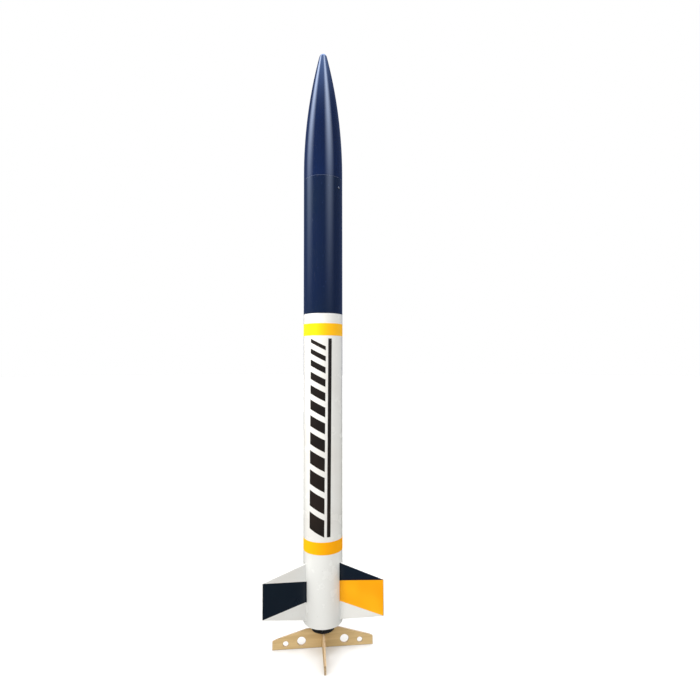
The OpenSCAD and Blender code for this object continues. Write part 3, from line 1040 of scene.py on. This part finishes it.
@dataclass
class Fins:
    """Three clipped-delta fins, painted in panels that differ from side to side."""

    thickness: float = 4.8 * MM
    tip_rise: float = 34.7 * MM
    tip_chord: float = 87.5 * MM
    tab_inset: float = 4.5 * MM
    edge_round: float = 1.3 * MM
    upper_line_root: float = 179.0 * MM
    lower_line_root: float = 127.6 * MM
    directions: tuple = (("fin_right", -30.0), ("fin_rear", 90.0), ("fin_left", 210.0))

    def paints(self, turn: float, name: str) -> list[Finish]:
        """The white, navy and yellow paint of one fin, with the wood's grain along its leading edge.

        Args:
            turn: The fin's direction, in degrees.
            name: The first word of the finishes' names.

        Returns:
            The white, navy and yellow paint, in that order.
        """
        shades = {
            "white": (WHITE, WHITE_SHADE, screen(150, 140, 126), 0.24, 0.5),
            "navy": (NAVY, screen(14, 26, 38), screen(64, 74, 88), 0.24, 0.3),
            "yellow": (YELLOW, screen(252, 182, 22), screen(190, 120, 20), 0.26, 0.4),
        }
        return [GlossPaint(f"{name} {word}", *shade, grain_turn=-turn) for word, shade in shades.items()]

    def panel(self, z: float, upper: float, lower: float, side: FinSide) -> int:
        """The finish of a point on a fin's side.

        Args:
            z: Its height.
            upper: The height of the upper paint line there.
            lower: The height of the lower paint line there.
            side: The side of the fin.

        Returns:
            0 for white, 1 for navy or 2 for yellow.
        """
        if z < lower:
            return 0
        if side is FinSide.ANTICLOCKWISE:
            return 0 if z > upper else 1
        return 1 if z > upper else 2

    def build(self) -> None:
        """Builds the fins and their fillets."""
        for node, turn in self.directions:
            self.fin(node, turn)
        self.fillets()

    def fin(self, node: str, turn: float) -> None:
        """Builds one fin.

        Args:
            node: The CAD node that it stands for.
            turn: Its direction from the axis, in degrees from +X.
        """
        root = outer_radius("booster_tube")
        low, high = heights(node)
        tab = outer_radius("motor_tube") + 0.1 * MM
        tip = self.reach()
        tip_low = low + self.tip_rise
        tip_high = tip_low + self.tip_chord
        tab_low, tab_high = low + self.tab_inset, high - self.tab_inset
        blank = Blank.plate([
            (root, low), (tip, tip_low), (tip, tip_high), (root, high),
            (root, tab_high), (tab, tab_high), (tab, tab_low), (root, tab_low),
        ])
        upper_slope = (tip_high - self.upper_line_root) / (tip - root)
        lower_slope = (tip_low - self.lower_line_root) / (tip - root)
        for start, slope in ((self.upper_line_root, upper_slope), (self.lower_line_root, lower_slope)):
            blank.cut((root, 0, start), (-slope, 0, 1))
        blank.thicken(self.thickness)

        def rule(face: bmesh.types.BMFace) -> int:
            """The finish of one face of this fin.

            Args:
                face: The face.

            Returns:
                The number of its finish.
            """
            centre = face.calc_center_median()
            if abs(face.normal.y) < 0.5:
                return 0
            out = centre.x - root
            side = FinSide.ANTICLOCKWISE if face.normal.y > 0 else FinSide.CLOCKWISE
            upper = self.upper_line_root + upper_slope * out
            return self.panel(centre.z, upper, self.lower_line_root + lower_slope * out, side)

        blank.paint(rule)
        blank.soften(self.edge_round, 4, lambda edge: min(v.co.x for v in edge.verts) > root - MERGE
                     and abs(edge.verts[0].co.y - edge.verts[1].co.y) < MERGE)
        blank.turn(turn)
        blank.piece(f"{node}_board", "booster", "fin_paint", self.paints(turn, node), [node])

    def reach(self) -> float:
        """The distance of the fins' tips from the axis."""
        low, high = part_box("fin_rear")
        return high.y

    def fillets(self) -> None:
        """Builds the glue fillets along the roots, in the fins' own paint."""
        blank = Blank.copy_of("fin_fillets")
        for height in (self.upper_line_root, self.lower_line_root):
            blank.cut((0, 0, height), (0, 0, 1))

        def rule(face: bmesh.types.BMFace) -> int:
            """The finish of one face of the fillets.

            Args:
                face: The face.

            Returns:
                The number of its finish.
            """
            centre = face.calc_center_median()
            angle = math.degrees(math.atan2(centre.y, centre.x)) % 360
            nearest = min(self.directions, key=lambda known: abs((angle - known[1] + 180) % 360 - 180))
            ahead = (angle - nearest[1] + 180) % 360 - 180
            side = FinSide.ANTICLOCKWISE if ahead > 0 else FinSide.CLOCKWISE
            return self.panel(centre.z, self.upper_line_root, self.lower_line_root, side)

        blank.paint(rule)
        finishes = self.paints(0.0, "fillet")
        blank.piece("fin_root_fillets", "booster", "fillet_paint", finishes, ["fin_fillets"])


@dataclass
class Trim:
    """The vinyl on the booster: two bands, a long stripe and slanted marks."""

    film: float = 0.2 * MM
    stripe_width: float = 9.2 * MM
    stripe_turn: float = -74.6
    lean: float = 3.6 * MM
    mark_width: float = 39 * MM
    mark_turn: float = -110.0
    mark_slant: float = 20 * MM
    mark_count: int = 12
    mark_first: float = 42 * MM
    mark_last: float = 10 * MM

    def film_strip(self, width: float, low: float, height: float, slant: float, turn: float) -> Blank:
        """A strip of film pressed on the tube.

        Args:
            width: Its width across the tube.
            low: The height of its lower corner.
            height: Its height along the tube.
            slant: How much higher its left side is.
            turn: The direction of its middle, in degrees from +X.

        Returns:
            The strip, with the film's thickness.
        """
        radius = outer_radius("booster_tube")
        foot, head = heights("side_stripe")
        blank = Blank()
        bm = blank.mesh
        bmesh.ops.create_grid(bm, x_segments=24, y_segments=1, size=0.5)
        for vert in bm.verts:
            share, rise = vert.co.x, vert.co.y + 0.5
            height_here = low + rise * height + slant * (0.5 - share)
            across = share * width + self.lean * (height_here - foot) / (head - foot)
            vert.co = (math.sqrt(radius ** 2 - across ** 2), across, height_here)
        grown = bmesh.ops.extrude_face_region(bm, geom=bm.faces[:])["geom"]
        outside = [part for part in grown if isinstance(part, bmesh.types.BMVert)]
        spread = 1 + self.film / radius
        bmesh.ops.scale(bm, vec=(spread, spread, 1), verts=outside)
        return blank.outwards().turn(turn)

    def bands(self) -> None:
        """Builds the two yellow bands."""
        radius = outer_radius("booster_tube")
        for node, vinyl in (("lower_band", GOLD_VINYL), ("upper_band", LIT_UPPER_VINYL)):
            low, high = heights(node)
            blank = Blank.wall(radius + self.film, radius, low, high).soften(0.06 * MM, 1)
            blank.piece(f"{node}_vinyl", "booster", "yellow_vinyl", [vinyl], [node])

    def stripe(self) -> None:
        """Builds the long stripe."""
        low, high = heights("side_stripe")
        blank = self.film_strip(self.stripe_width, low, high - low, 0.0, self.stripe_turn)
        blank.piece("side_stripe_vinyl", "booster", "black_vinyl", [BLACK_VINYL], ["side_stripe"])

    def marks(self) -> None:
        """Builds the slanted marks, which thin out up the tube with equal gaps between them."""
        low, high = heights("side_marks")
        step = (self.mark_last - self.mark_first) / (self.mark_count - 1)
        inked = self.mark_count * (self.mark_first + self.mark_last) / 2
        gap = (high - low - self.mark_slant - inked) / (self.mark_count - 1)
        blank, foot = Blank(), low
        for i in range(self.mark_count):
            height = self.mark_first + step * i
            blank.join(self.film_strip(self.mark_width, foot, height, self.mark_slant, self.mark_turn))
            foot += height + gap
        blank.piece("side_marks_vinyl", "booster", "black_vinyl", [BLACK_VINYL], ["side_marks"])

    def build(self) -> None:
        """Builds all the vinyl."""
        self.bands()
        self.stripe()
        self.marks()


@dataclass
class MotorMount:
    """The motor tube, its plywood rings, the retainer and its cap."""

    bore: float = 19.35 * MM
    paper_round: float = 0.3 * MM

    def build(self) -> None:
        """Builds the motor mount."""
        low, high = heights("motor_tube")
        tube = Blank.wall(outer_radius("motor_tube"), self.bore, low, high).soften(self.paper_round)
        tube.piece("motor_mount_tube", "booster", "kraft_tube", [BROWN_PAPER], ["motor_tube"])
        for node in ("aft_ring", "middle_ring"):
            low, high = heights(node)
            inner = outer_radius("motor_tube") + 0.1 * MM
            ring = Blank.wall(outer_radius(node), inner, low, high).soften(0.3 * MM)
            ring.paint(lambda face: 0 if abs(face.normal.z) > 0.9 else 1)
            ring.piece(f"{node}_board", "booster", "ring_ply", [RING_FACE, RING_EDGE], [node])
        dress("forward_ring", RING_FACE)
        for node, body, slot in (
            ("retainer_body", "booster", "retainer_metal"),
            ("retainer_cap", "retainer_cap", "cap_metal"),
        ):
            blank = Blank.copy_of(node).soften(0.2 * MM)
            blank.piece(f"{node}_turned", body, slot, [BLACK_METAL], [node])


@dataclass
class LaunchLugs:
    """Two short tubes on the far side that run on the launch rod."""

    end_round: float = 0.12 * MM

    def build(self) -> None:
        """Builds both lugs from their CAD shapes, with their ends softened."""
        for node in ("launch_lug_lower", "launch_lug_upper"):
            blank = Blank.copy_of(node).soften(self.end_round, 1)
            blank.piece(f"{node}_tube", "booster", "lug_paint", [LUG_WHITE], [node])


@dataclass
class Hardware:
    """Eye bolts, nuts and washers, with real threads."""

    wire: float = 3 * MM
    eye: float = 10 * MM
    thread_depth: float = 0.45 * MM
    thread_pitch: float = 1 * MM
    nut_corner: float = 5.75 * MM
    nut_height: float = 5 * MM
    washer_radius: float = 7.5 * MM
    washer_height: float = 1.5 * MM
    play: float = 0.1 * MM

    def threaded(self, low: float, high: float) -> Blank:
        """A threaded rod about Z.

        Args:
            low: The height of its foot.
            high: The height of its top.

        Returns:
            The rod, closed at both ends.
        """
        blank = Blank()
        bm = blank.mesh
        root, pitch = self.wire - self.thread_depth, self.thread_pitch
        turns = math.ceil((high - low) / pitch) + 2
        tooth = [(root, 0.0), (self.wire, pitch * 0.4), (self.wire, pitch * 0.6), (root, pitch)]
        points = [bm.verts.new((r, 0.0, low - pitch + z)) for r, z in tooth]
        edges = [bm.edges.new(pair) for pair in zip(points, points[1:])]
        bmesh.ops.spin(
            bm, geom=points + edges, cent=(0, 0, 0), axis=(0, 0, 1), dvec=(0, 0, pitch / 24),
            angle=FULL_TURN * turns, steps=24 * turns, use_merge=False,
        )
        bmesh.ops.remove_doubles(bm, verts=bm.verts[:], dist=1e-6)
        blank.cut((0, 0, high), (0, 0, 1), False).cut((0, 0, low), (0, 0, -1), False)
        return blank.outwards()

    def eyebolt(self, eye_low: float, shank_end: float, sideways: bool) -> Blank:
        """An eye bolt about Z.

        Args:
            eye_low: The height where the eye's inside edge meets the shank.
            shank_end: The height of the shank's free end.
            sideways: Turns the eye a quarter turn about its shank.

        Returns:
            The eye bolt.
        """
        up = 1 if eye_low > shank_end else -1
        ring = Blank()
        upright = Matrix.Translation((self.eye, 0, 0)) @ Matrix.Rotation(math.pi / 2, 4, "X")
        circle = bmesh.ops.create_circle(ring.mesh, segments=24, radius=self.wire, matrix=upright)["verts"]
        bmesh.ops.spin(
            ring.mesh, geom=circle + ring.mesh.edges[:], cent=(0, 0, 0), axis=(0, 0, 1), angle=FULL_TURN,
            steps=SMALL_STEPS, use_merge=True,
        )
        ring.outwards().turn(90, "X").move(z=eye_low + up * self.eye)
        ends = sorted((eye_low, shank_end))
        ring.join(self.threaded(*ends))
        return ring.turn(90) if sideways else ring

    def nut_and_washer(self, face: float, up: int) -> Blank:
        """A washer on a board's face, and a nut on the washer.

        Args:
            face: The height of the board's face.
            up: 1 if they stand on it, or -1 if they hang below it.

        Returns:
            Both.
        """
        bore = self.wire + self.play
        ends = sorted((face, face + up * self.washer_height))
        both = Blank.wall(self.washer_radius, bore, *ends, SMALL_STEPS).soften(0.15 * MM, 1)
        ends = (self.washer_height, self.washer_height + self.nut_height)
        low, high = sorted(face + up * end for end in ends)
        flat = self.nut_corner * math.cos(math.pi / 6)
        chamfer = 0.5 * MM
        nut = Blank.lathe([
            (self.nut_corner - chamfer, low),
            (self.nut_corner, low + chamfer),
            (self.nut_corner, high - chamfer),
            (self.nut_corner - chamfer, high), (bore + chamfer, high), (bore, high - chamfer),
            (bore, low + chamfer), (bore + chamfer, low),
        ], SMALL_STEPS)
        for i in range(6):
            out = math.radians(60 * i + 30)
            normal = (math.cos(out), math.sin(out), 0)
            nut.cut((flat * normal[0], flat * normal[1], 0), normal, False)
        return both.join(nut.outwards())

    def fit(self, place: str, body: str, at: Vector, turn: float) -> None:
        """Builds the eye bolt and the nuts of one board.

        Args:
            place: The first word of the CAD nodes, booster or payload.
            body: The body that they ride on.
            at: The bolt's axis, as X and Y.
            turn: The turn of the whole about its axis, in degrees.
        """
        bolt_low, bolt_high = heights(f"{place}_eyebolt")
        nuts_low, nuts_high = heights(f"{place}_nuts")
        stack = self.washer_height + self.nut_height
        reach = 2 * (self.eye + self.wire)
        above = place == "booster"
        eye_foot = bolt_high - reach + self.wire if above else bolt_low + reach - self.wire
        bolt = self.eyebolt(eye_foot, bolt_low if above else bolt_high, above)
        bolt.turn(turn).move(at.x, at.y)
        bolt.piece(f"{place}_eye", body, "zinc_steel", [BRIGHT_ZINC], [f"{place}_eyebolt"])
        nuts = self.nut_and_washer(nuts_high - stack, 1).join(self.nut_and_washer(nuts_low + stack, -1))
        nuts.turn(turn).move(at.x, at.y)
        nuts.piece(f"{place}_nut_pair", body, "zinc_steel", [BRIGHT_ZINC], [f"{place}_nuts"])

    def build(self) -> None:
        """Builds the hardware of the forward ring and of the payload's bulkhead."""
        low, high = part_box("booster_nuts")
        middle = (low + high) / 2
        self.fit("booster", "booster", middle, math.degrees(math.atan2(middle.y, middle.x)))
        self.fit("payload", "payload_section", Vector((0, 0, 0)), 0.0)


@dataclass
class RecoveryGear:
    """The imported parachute, in its flameproof cloth."""

    folds: int = 9
    cloth: float = 0.5 * MM
    wraps: float = 1.18
    tuck: float = 30 * MM

    def parachute(self) -> bpy.types.Object:
        """Builds the rolled canopy: a soft bundle with gathered ends and folds along it.

        Returns:
            The parachute.
        """
        low, high = heights("parachute")
        radius = outer_radius("parachute") - 0.5 * MM
        end = radius * 0.55
        side = [(radius, low + end + (high - low - 2 * end) * i / 24) for i in range(25)]
        foot = arc((radius - end, low + end), end, -math.pi / 2, 0.0, 8)[:-1]
        head = arc((radius - end, high - end), end, 0.0, math.pi / 2, 8)[1:]
        blank = Blank.lathe([(0.0, low), *foot, *side, *head, (0.0, high)], 144)
        for vert in blank.mesh.verts:
            out = vert.co.xy.length
            if out < MERGE:
                continue
            angle = math.atan2(vert.co.y, vert.co.x)
            along = (vert.co.z - low) / (high - low)
            phase = self.folds * angle + 2.4 * math.sin(3.1 * along) + math.sin(2 * angle)
            fold = 0.5 - 0.5 * math.cos(phase)
            pinch = 0.25 + 0.75 * abs(2 * along - 1) ** 1.5
            shrink = 1 - 0.1 * (fold ** 3) * pinch - 0.012 * math.sin(23 * along + 3 * angle)
            shrink = min(shrink, 1.0)
            vert.co.x *= shrink
            vert.co.y *= shrink
        made = blank.piece("parachute_roll", "booster", "chute_nylon", [CHUTE_NYLON], ["parachute"])
        return made

    def protector(self, chute: bpy.types.Object) -> None:
        """Builds the cloth: a strip rolled round the parachute, its foot tucked under.

        Args:
            chute: The parachute that it holds. It is not used.
        """
        low, high = heights("chute_protector")
        outer = outer_radius("chute_protector") - 1.0 * MM
        inner = outer - 1.1 * MM
        side = high - low - 2 * MM
        blank = Blank()
        bm = blank.mesh
        bmesh.ops.create_grid(bm, x_segments=180, y_segments=40, size=0.5)
        for vert in bm.verts:
            along, up = vert.co.x + 0.5, (vert.co.y + 0.5) * (side + self.tuck)
            angle = FULL_TURN * self.wraps * along
            radius = inner + (outer - inner) * along
            pleat = math.sin(14 * angle)
            if up < self.tuck:
                radius -= self.tuck - up
                height = low + (0.6 + 0.8 * along) * MM + 0.25 * MM * (1 + pleat)
            else:
                height = low + (0.6 + 0.8 * along) * MM + (up - self.tuck)
                height -= 1.2 * MM * (0.5 + 0.5 * math.sin(5 * angle)) * ((up - self.tuck) / side) ** 4
                radius -= 0.15 * MM * (1 + math.sin(9 * angle + 40 * up))
            vert.co = (radius * math.cos(angle), radius * math.sin(angle), height)
        bmesh.ops.recalc_face_normals(bm, faces=bm.faces[:])
        made = blank.piece(
            "chute_cloth_wrap", "booster", "flameproof_cloth", [CHUTE_CLOTH], ["chute_protector"]
        )
        thick = made.modifiers.new("cloth", "SOLIDIFY")
        thick.thickness = self.cloth
        thick.offset = 0.0

    def build(self) -> None:
        """Builds the parachute and its cloth."""
        self.protector(self.parachute())


@dataclass
class PayloadSection:
    """The navy payload tube, its coupler and the bulkhead that closes it."""

    wall: float = 1.27 * MM
    coupler_wall: float = 1.9 * MM
    rim_round: float = 0.35 * MM
    hole: float = 3.1 * MM

    def build(self) -> None:
        """Builds the tube, the coupler and the bulkhead."""
        low, high = heights("payload_tube")
        radius = outer_radius("booster_tube")
        middle = radius - self.wall * 0.6
        tube = Blank.wall(radius, radius - self.wall, low, high).soften(self.rim_round)
        seam = high - self.rim_round * 0.7
        # The faces at the very top of the rim get the pale bluish grey.
        tube.paint(lambda face: (2 if face.calc_center_median().z > seam else 0)
                   if face.calc_center_median().xy.length > middle else 1)
        tube.piece(
            "payload_airframe", "payload_section", "navy_paint", [TUBE_NAVY, BROWN_PAPER, SEAM_RIM_GREY],
            ["payload_tube"],
        )
        low, high = heights("coupler_tube")
        outer = outer_radius("coupler_tube")
        coupler = Blank.wall(outer, outer - self.coupler_wall, low, high).soften(self.rim_round)
        coupler.piece("coupler_sleeve", "payload_section", "kraft_tube", [BROWN_PAPER], ["coupler_tube"])
        low, high = heights("coupler_bulkhead")
        board = Blank.wall(outer_radius("coupler_bulkhead"), self.hole, low, high).soften(0.3 * MM)
        board.paint(lambda face: 0 if abs(face.normal.z) > 0.9 else 1)
        board.piece(
            "bulkhead_board", "payload_section", "ring_ply", [RING_FACE, RING_EDGE], ["coupler_bulkhead"]
        )


@dataclass
class NoseCone:
    """The moulded nose cone, with its shoulder, its plug and its screws."""

    band: float = 16 * MM
    tip: float = 10.5 * MM
    wall: float = 2.4 * MM
    solid_tip: float = 24 * MM
    screw_radius: float = 2.8 * MM
    screw_length: float = 8 * MM
    screw_height: float = 1.8 * MM
    first_screw: float = -39.0
    screw_count: int = 2

    def build(self) -> None:
        """Builds the cone and the screws, and dresses the plug."""
        self.cone()
        self.screws()
        dress("nose_base", PLUG_BLACK)

    def cone(self) -> None:
        """Builds the shell as one turned profile, outside and inside."""
        seam = heights("payload_tube")[1]
        low, high = heights("nose_cone")
        radius = outer_radius("booster_tube")
        shoulder = outer_radius("coupler_tube")
        inner = shoulder - self.wall
        rise = high - seam - self.band - self.tip
        curve = (radius ** 2 + rise ** 2 - self.tip ** 2) / (2 * (radius - self.tip))
        lean = math.atan2(rise, curve - radius)
        foot = seam + self.band
        side = arc((radius - curve, foot), curve, 0.0, lean, 96)
        point = arc((0.0, foot + rise), self.tip, lean, math.pi / 2, 16)[1:]
        inner_curve = curve - (radius - inner)
        top = math.acos((curve - radius) / inner_curve)
        roof = high - self.solid_tip - foot
        hollow = arc((radius - curve, foot), inner_curve, 0.0, min(top, math.asin(roof / inner_curve)), 48)
        blank = Blank.lathe([
            (inner, low), (shoulder, low), (shoulder, seam), (radius, seam),
            *side, *point[:-1], (0.0, high), (0.0, hollow[-1][1]), *reversed(hollow),
        ])
        blank.soften(0.4 * MM)
        blank.piece("nose_shell", "payload_section", "navy_plastic", [NOSE_NAVY], ["nose_cone"])

    def screws(self) -> None:
        """Builds the screws, each with a domed head and a cross recess."""
        low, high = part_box("nose_screws")
        height = (low.z + high.z) / 2
        radius = outer_radius("booster_tube")
        blank = Blank()
        for i in range(self.screw_count):
            screw = self.screw().turn(90, "Y").move(x=radius, z=height)
            blank.join(screw.turn(self.first_screw + 360 * i / self.screw_count))
        blank.piece("nose_screw_set", "payload_section", "screw_steel", [SCREW_STEEL], ["nose_screws"])

    def screw(self) -> Blank:
        """One screw about Z, with the underside of its head at the origin.

        Returns:
            The screw.
        """
        rise, head = self.screw_height, self.screw_radius
        shank = head / 2
        recess = rise * 0.55
        dome = [(head, 0.0), (head, rise * 0.45), (head * 0.86, rise * 0.8), (head * 0.6, rise)]
        foot = -self.screw_length
        profile = [
            (0.0, foot), (shank * 0.5, foot), (shank, foot * 0.85), (shank, 0.0),
            *dome, (head * 0.12, rise), (0.0, rise - recess),
        ]
        blank = Blank.lathe(profile, 32)
        slots = [
            face for face in blank.mesh.faces
            if face.normal.z > 0.9 and math.cos(4 * math.atan2(*face.calc_center_median().yx)) > 0.6
            and face.calc_center_median().xy.length > head * 0.12
        ]
        sunk = bmesh.ops.extrude_face_region(blank.mesh, geom=slots)["geom"]
        bmesh.ops.delete(blank.mesh, geom=slots, context="FACES")
        low = [part for part in sunk if isinstance(part, bmesh.types.BMVert)]
        bmesh.ops.translate(blank.mesh, vec=(0, 0, -recess), verts=low)
        return blank


# ---------------------------------------------------------------- the studio


@dataclass(frozen=True)
class Panel:
    """A soft light, placed round the rocket. Directions are in degrees, to the right of the camera."""

    name: str
    direction: float
    elevation: float
    distance: float
    width: float
    height: float
    power: float
    colour: tuple = (1.0, 1.0, 1.0)
    aim: float = 0.75
    spread: float = 180.0

    def hang(self, middle: Vector) -> None:
        """Hangs the light so that it faces a point.

        Args:
            middle: The point.
        """
        data = bpy.data.lights.new(self.name, "AREA")
        data.shape, data.size, data.size_y = "RECTANGLE", self.width, self.height
        data.energy, data.color = self.power, self.colour
        data.spread = math.radians(self.spread)
        made = bpy.data.objects.new(self.name, data)
        bpy.context.scene.collection.objects.link(made)
        away, up = math.radians(self.direction), math.radians(self.elevation)
        back = Vector((math.sin(away) * math.cos(up), -math.cos(away) * math.cos(up), math.sin(up)))
        made.location = Vector((middle.x, middle.y, self.aim)) + back * self.distance
        made.rotation_euler = back.to_track_quat("Z", "Y").to_euler()
        made.visible_camera = False
        made.visible_glossy = False


@dataclass
class Studio:
    """The floor, the sky, the lights and the camera."""

    lens: float = 24.38
    sensor: float = 36.0
    distance: float = 1244.3 * MM
    height: float = 726.9 * MM
    around: float = 0.86
    pitch: float = 1.692
    yaw: float = 3.254
    roll: float = -0.078
    clip: tuple = (0.01, 200.0)
    floor_radius: float = 30.0
    floor_drop: float = 0.5 * MM
    floor_steps: int = 96
    panels: tuple = (
        Panel("key", -56.0, 14.0, 1.5, 1.0, 1.3, 7.7, (1.0, 0.975, 0.94), 1.08, 80.0),
        Panel("back fill", 165.0, 35.0, 3.0, 2.0, 2.0, 18.0),
    )
    gloss_strength: float = 8.0
    ceiling: Colour = (0.18, 0.27, 0.5, 1.0)
    ceiling_rise: tuple = (38.0, 80.0)
    wall: Colour = (0.008, 0.011, 0.022, 1.0)
    strip: Colour = (0.55, 0.65, 0.85, 1.0)
    strip_places: tuple = (-90.0, 38.0)
    strip_spread: float = 34.0
    strip_rise: tuple = (2.0, 62.0)
    ground_rise: tuple = (-12.0, 0.0)
    ground: Colour = (0.006, 0.007, 0.006, 1.0)
    fill: Colour = (1.72, 1.72, 1.7, 1.0)

    def camera(self) -> None:
        """Sets up the camera."""
        data = bpy.data.cameras.new("camera")
        data.lens, data.sensor_width = self.lens, self.sensor
        data.clip_start, data.clip_end = self.clip
        made = bpy.data.objects.new("camera", data)
        bpy.context.scene.collection.objects.link(made)
        turn = math.radians(self.around)
        place = Vector((-self.distance * math.sin(turn), -self.distance * math.cos(turn), self.height))
        look = (
            Matrix.Rotation(-turn - math.radians(self.yaw), 4, "Z")
            @ Matrix.Rotation(math.radians(90 + self.pitch), 4, "X")
            @ Matrix.Rotation(math.radians(self.roll), 4, "Z")
        )
        made.matrix_world = Matrix.Translation(place) @ look
        bpy.context.scene.camera = made

    def floor(self) -> None:
        """Lays the floor."""
        bm = bmesh.new()
        bmesh.ops.create_circle(bm, cap_ends=True, segments=self.floor_steps, radius=self.floor_radius)
        data = bpy.data.meshes.new("floor")
        bm.to_mesh(data)
        bm.free()
        data.materials.append(PaleFloor("pale floor").material())
        made = bpy.data.objects.new("floor", data)
        bpy.context.scene.collection.objects.link(made)
        made.location.z = -self.floor_drop
        made.visible_glossy = False

    def sky(self) -> None:
        """White behind the object, an even fill on it, and a dim room with soft strips in its gloss."""
        world = bpy.data.worlds.new("studio")
        world.use_nodes = True
        bpy.context.scene.world = world
        bench = Bench(world.node_tree)
        ray = bench.node("ShaderNodeLightPath").socket.node.outputs
        seen, gloss = Wire(bench, ray["Is Camera Ray"]), Wire(bench, ray["Is Glossy Ray"])
        x, y, z = bench.axes(bench.node("ShaderNodeTexCoord", output="Generated"))
        turn = bench.math("ARCTAN2", x, -1 * y) * (360 / FULL_TURN)
        elevation = bench.math("ARCSINE", z) * (360 / FULL_TURN)
        scenery = bench.mix(bench.step(elevation, *self.ground_rise), self.ground, self.wall)
        around = bench.mix(bench.step(elevation, *self.ceiling_rise), scenery, self.ceiling)
        lit = bench.step(elevation, *self.strip_rise)
        for place in self.strip_places:
            near = 1 - bench.step(abs(turn - place), 0.0, self.strip_spread)
            around = bench.mix(near * lit, around, self.strip)
        room = bench.mix(gloss, self.fill, around)
        colour = bench.mix(seen, room, (1.0, 1.0, 1.0, 1.0))
        strength = 1 + (self.gloss_strength - 1) * gloss
        light = bench.node("ShaderNodeBackground", {}, {"Color": colour, "Strength": strength})
        bench.node("ShaderNodeOutputWorld", {}, {"Surface": light})

    def build(self) -> None:
        """Sets up the studio."""
        bpy.context.scene.view_settings.view_transform = "Standard"
        self.camera()
        self.floor()
        self.sky()
        low, high = CAD_BOX
        middle = (low + high) / 2
        for panel in self.panels:
            panel.hang(middle)


def main() -> None:
    """Builds the rocket, its stand and the studio."""
    logging.basicConfig(level=logging.INFO, format="%(message)s")
    Studio().build()
    for part in (
        DisplayStand(), BoosterTube(), Fins(), Trim(), MotorMount(), LaunchLugs(), Hardware(),
        RecoveryGear(), PayloadSection(), NoseCone(),
    ):
        part.build()


if __name__ == "__main__":
    main()
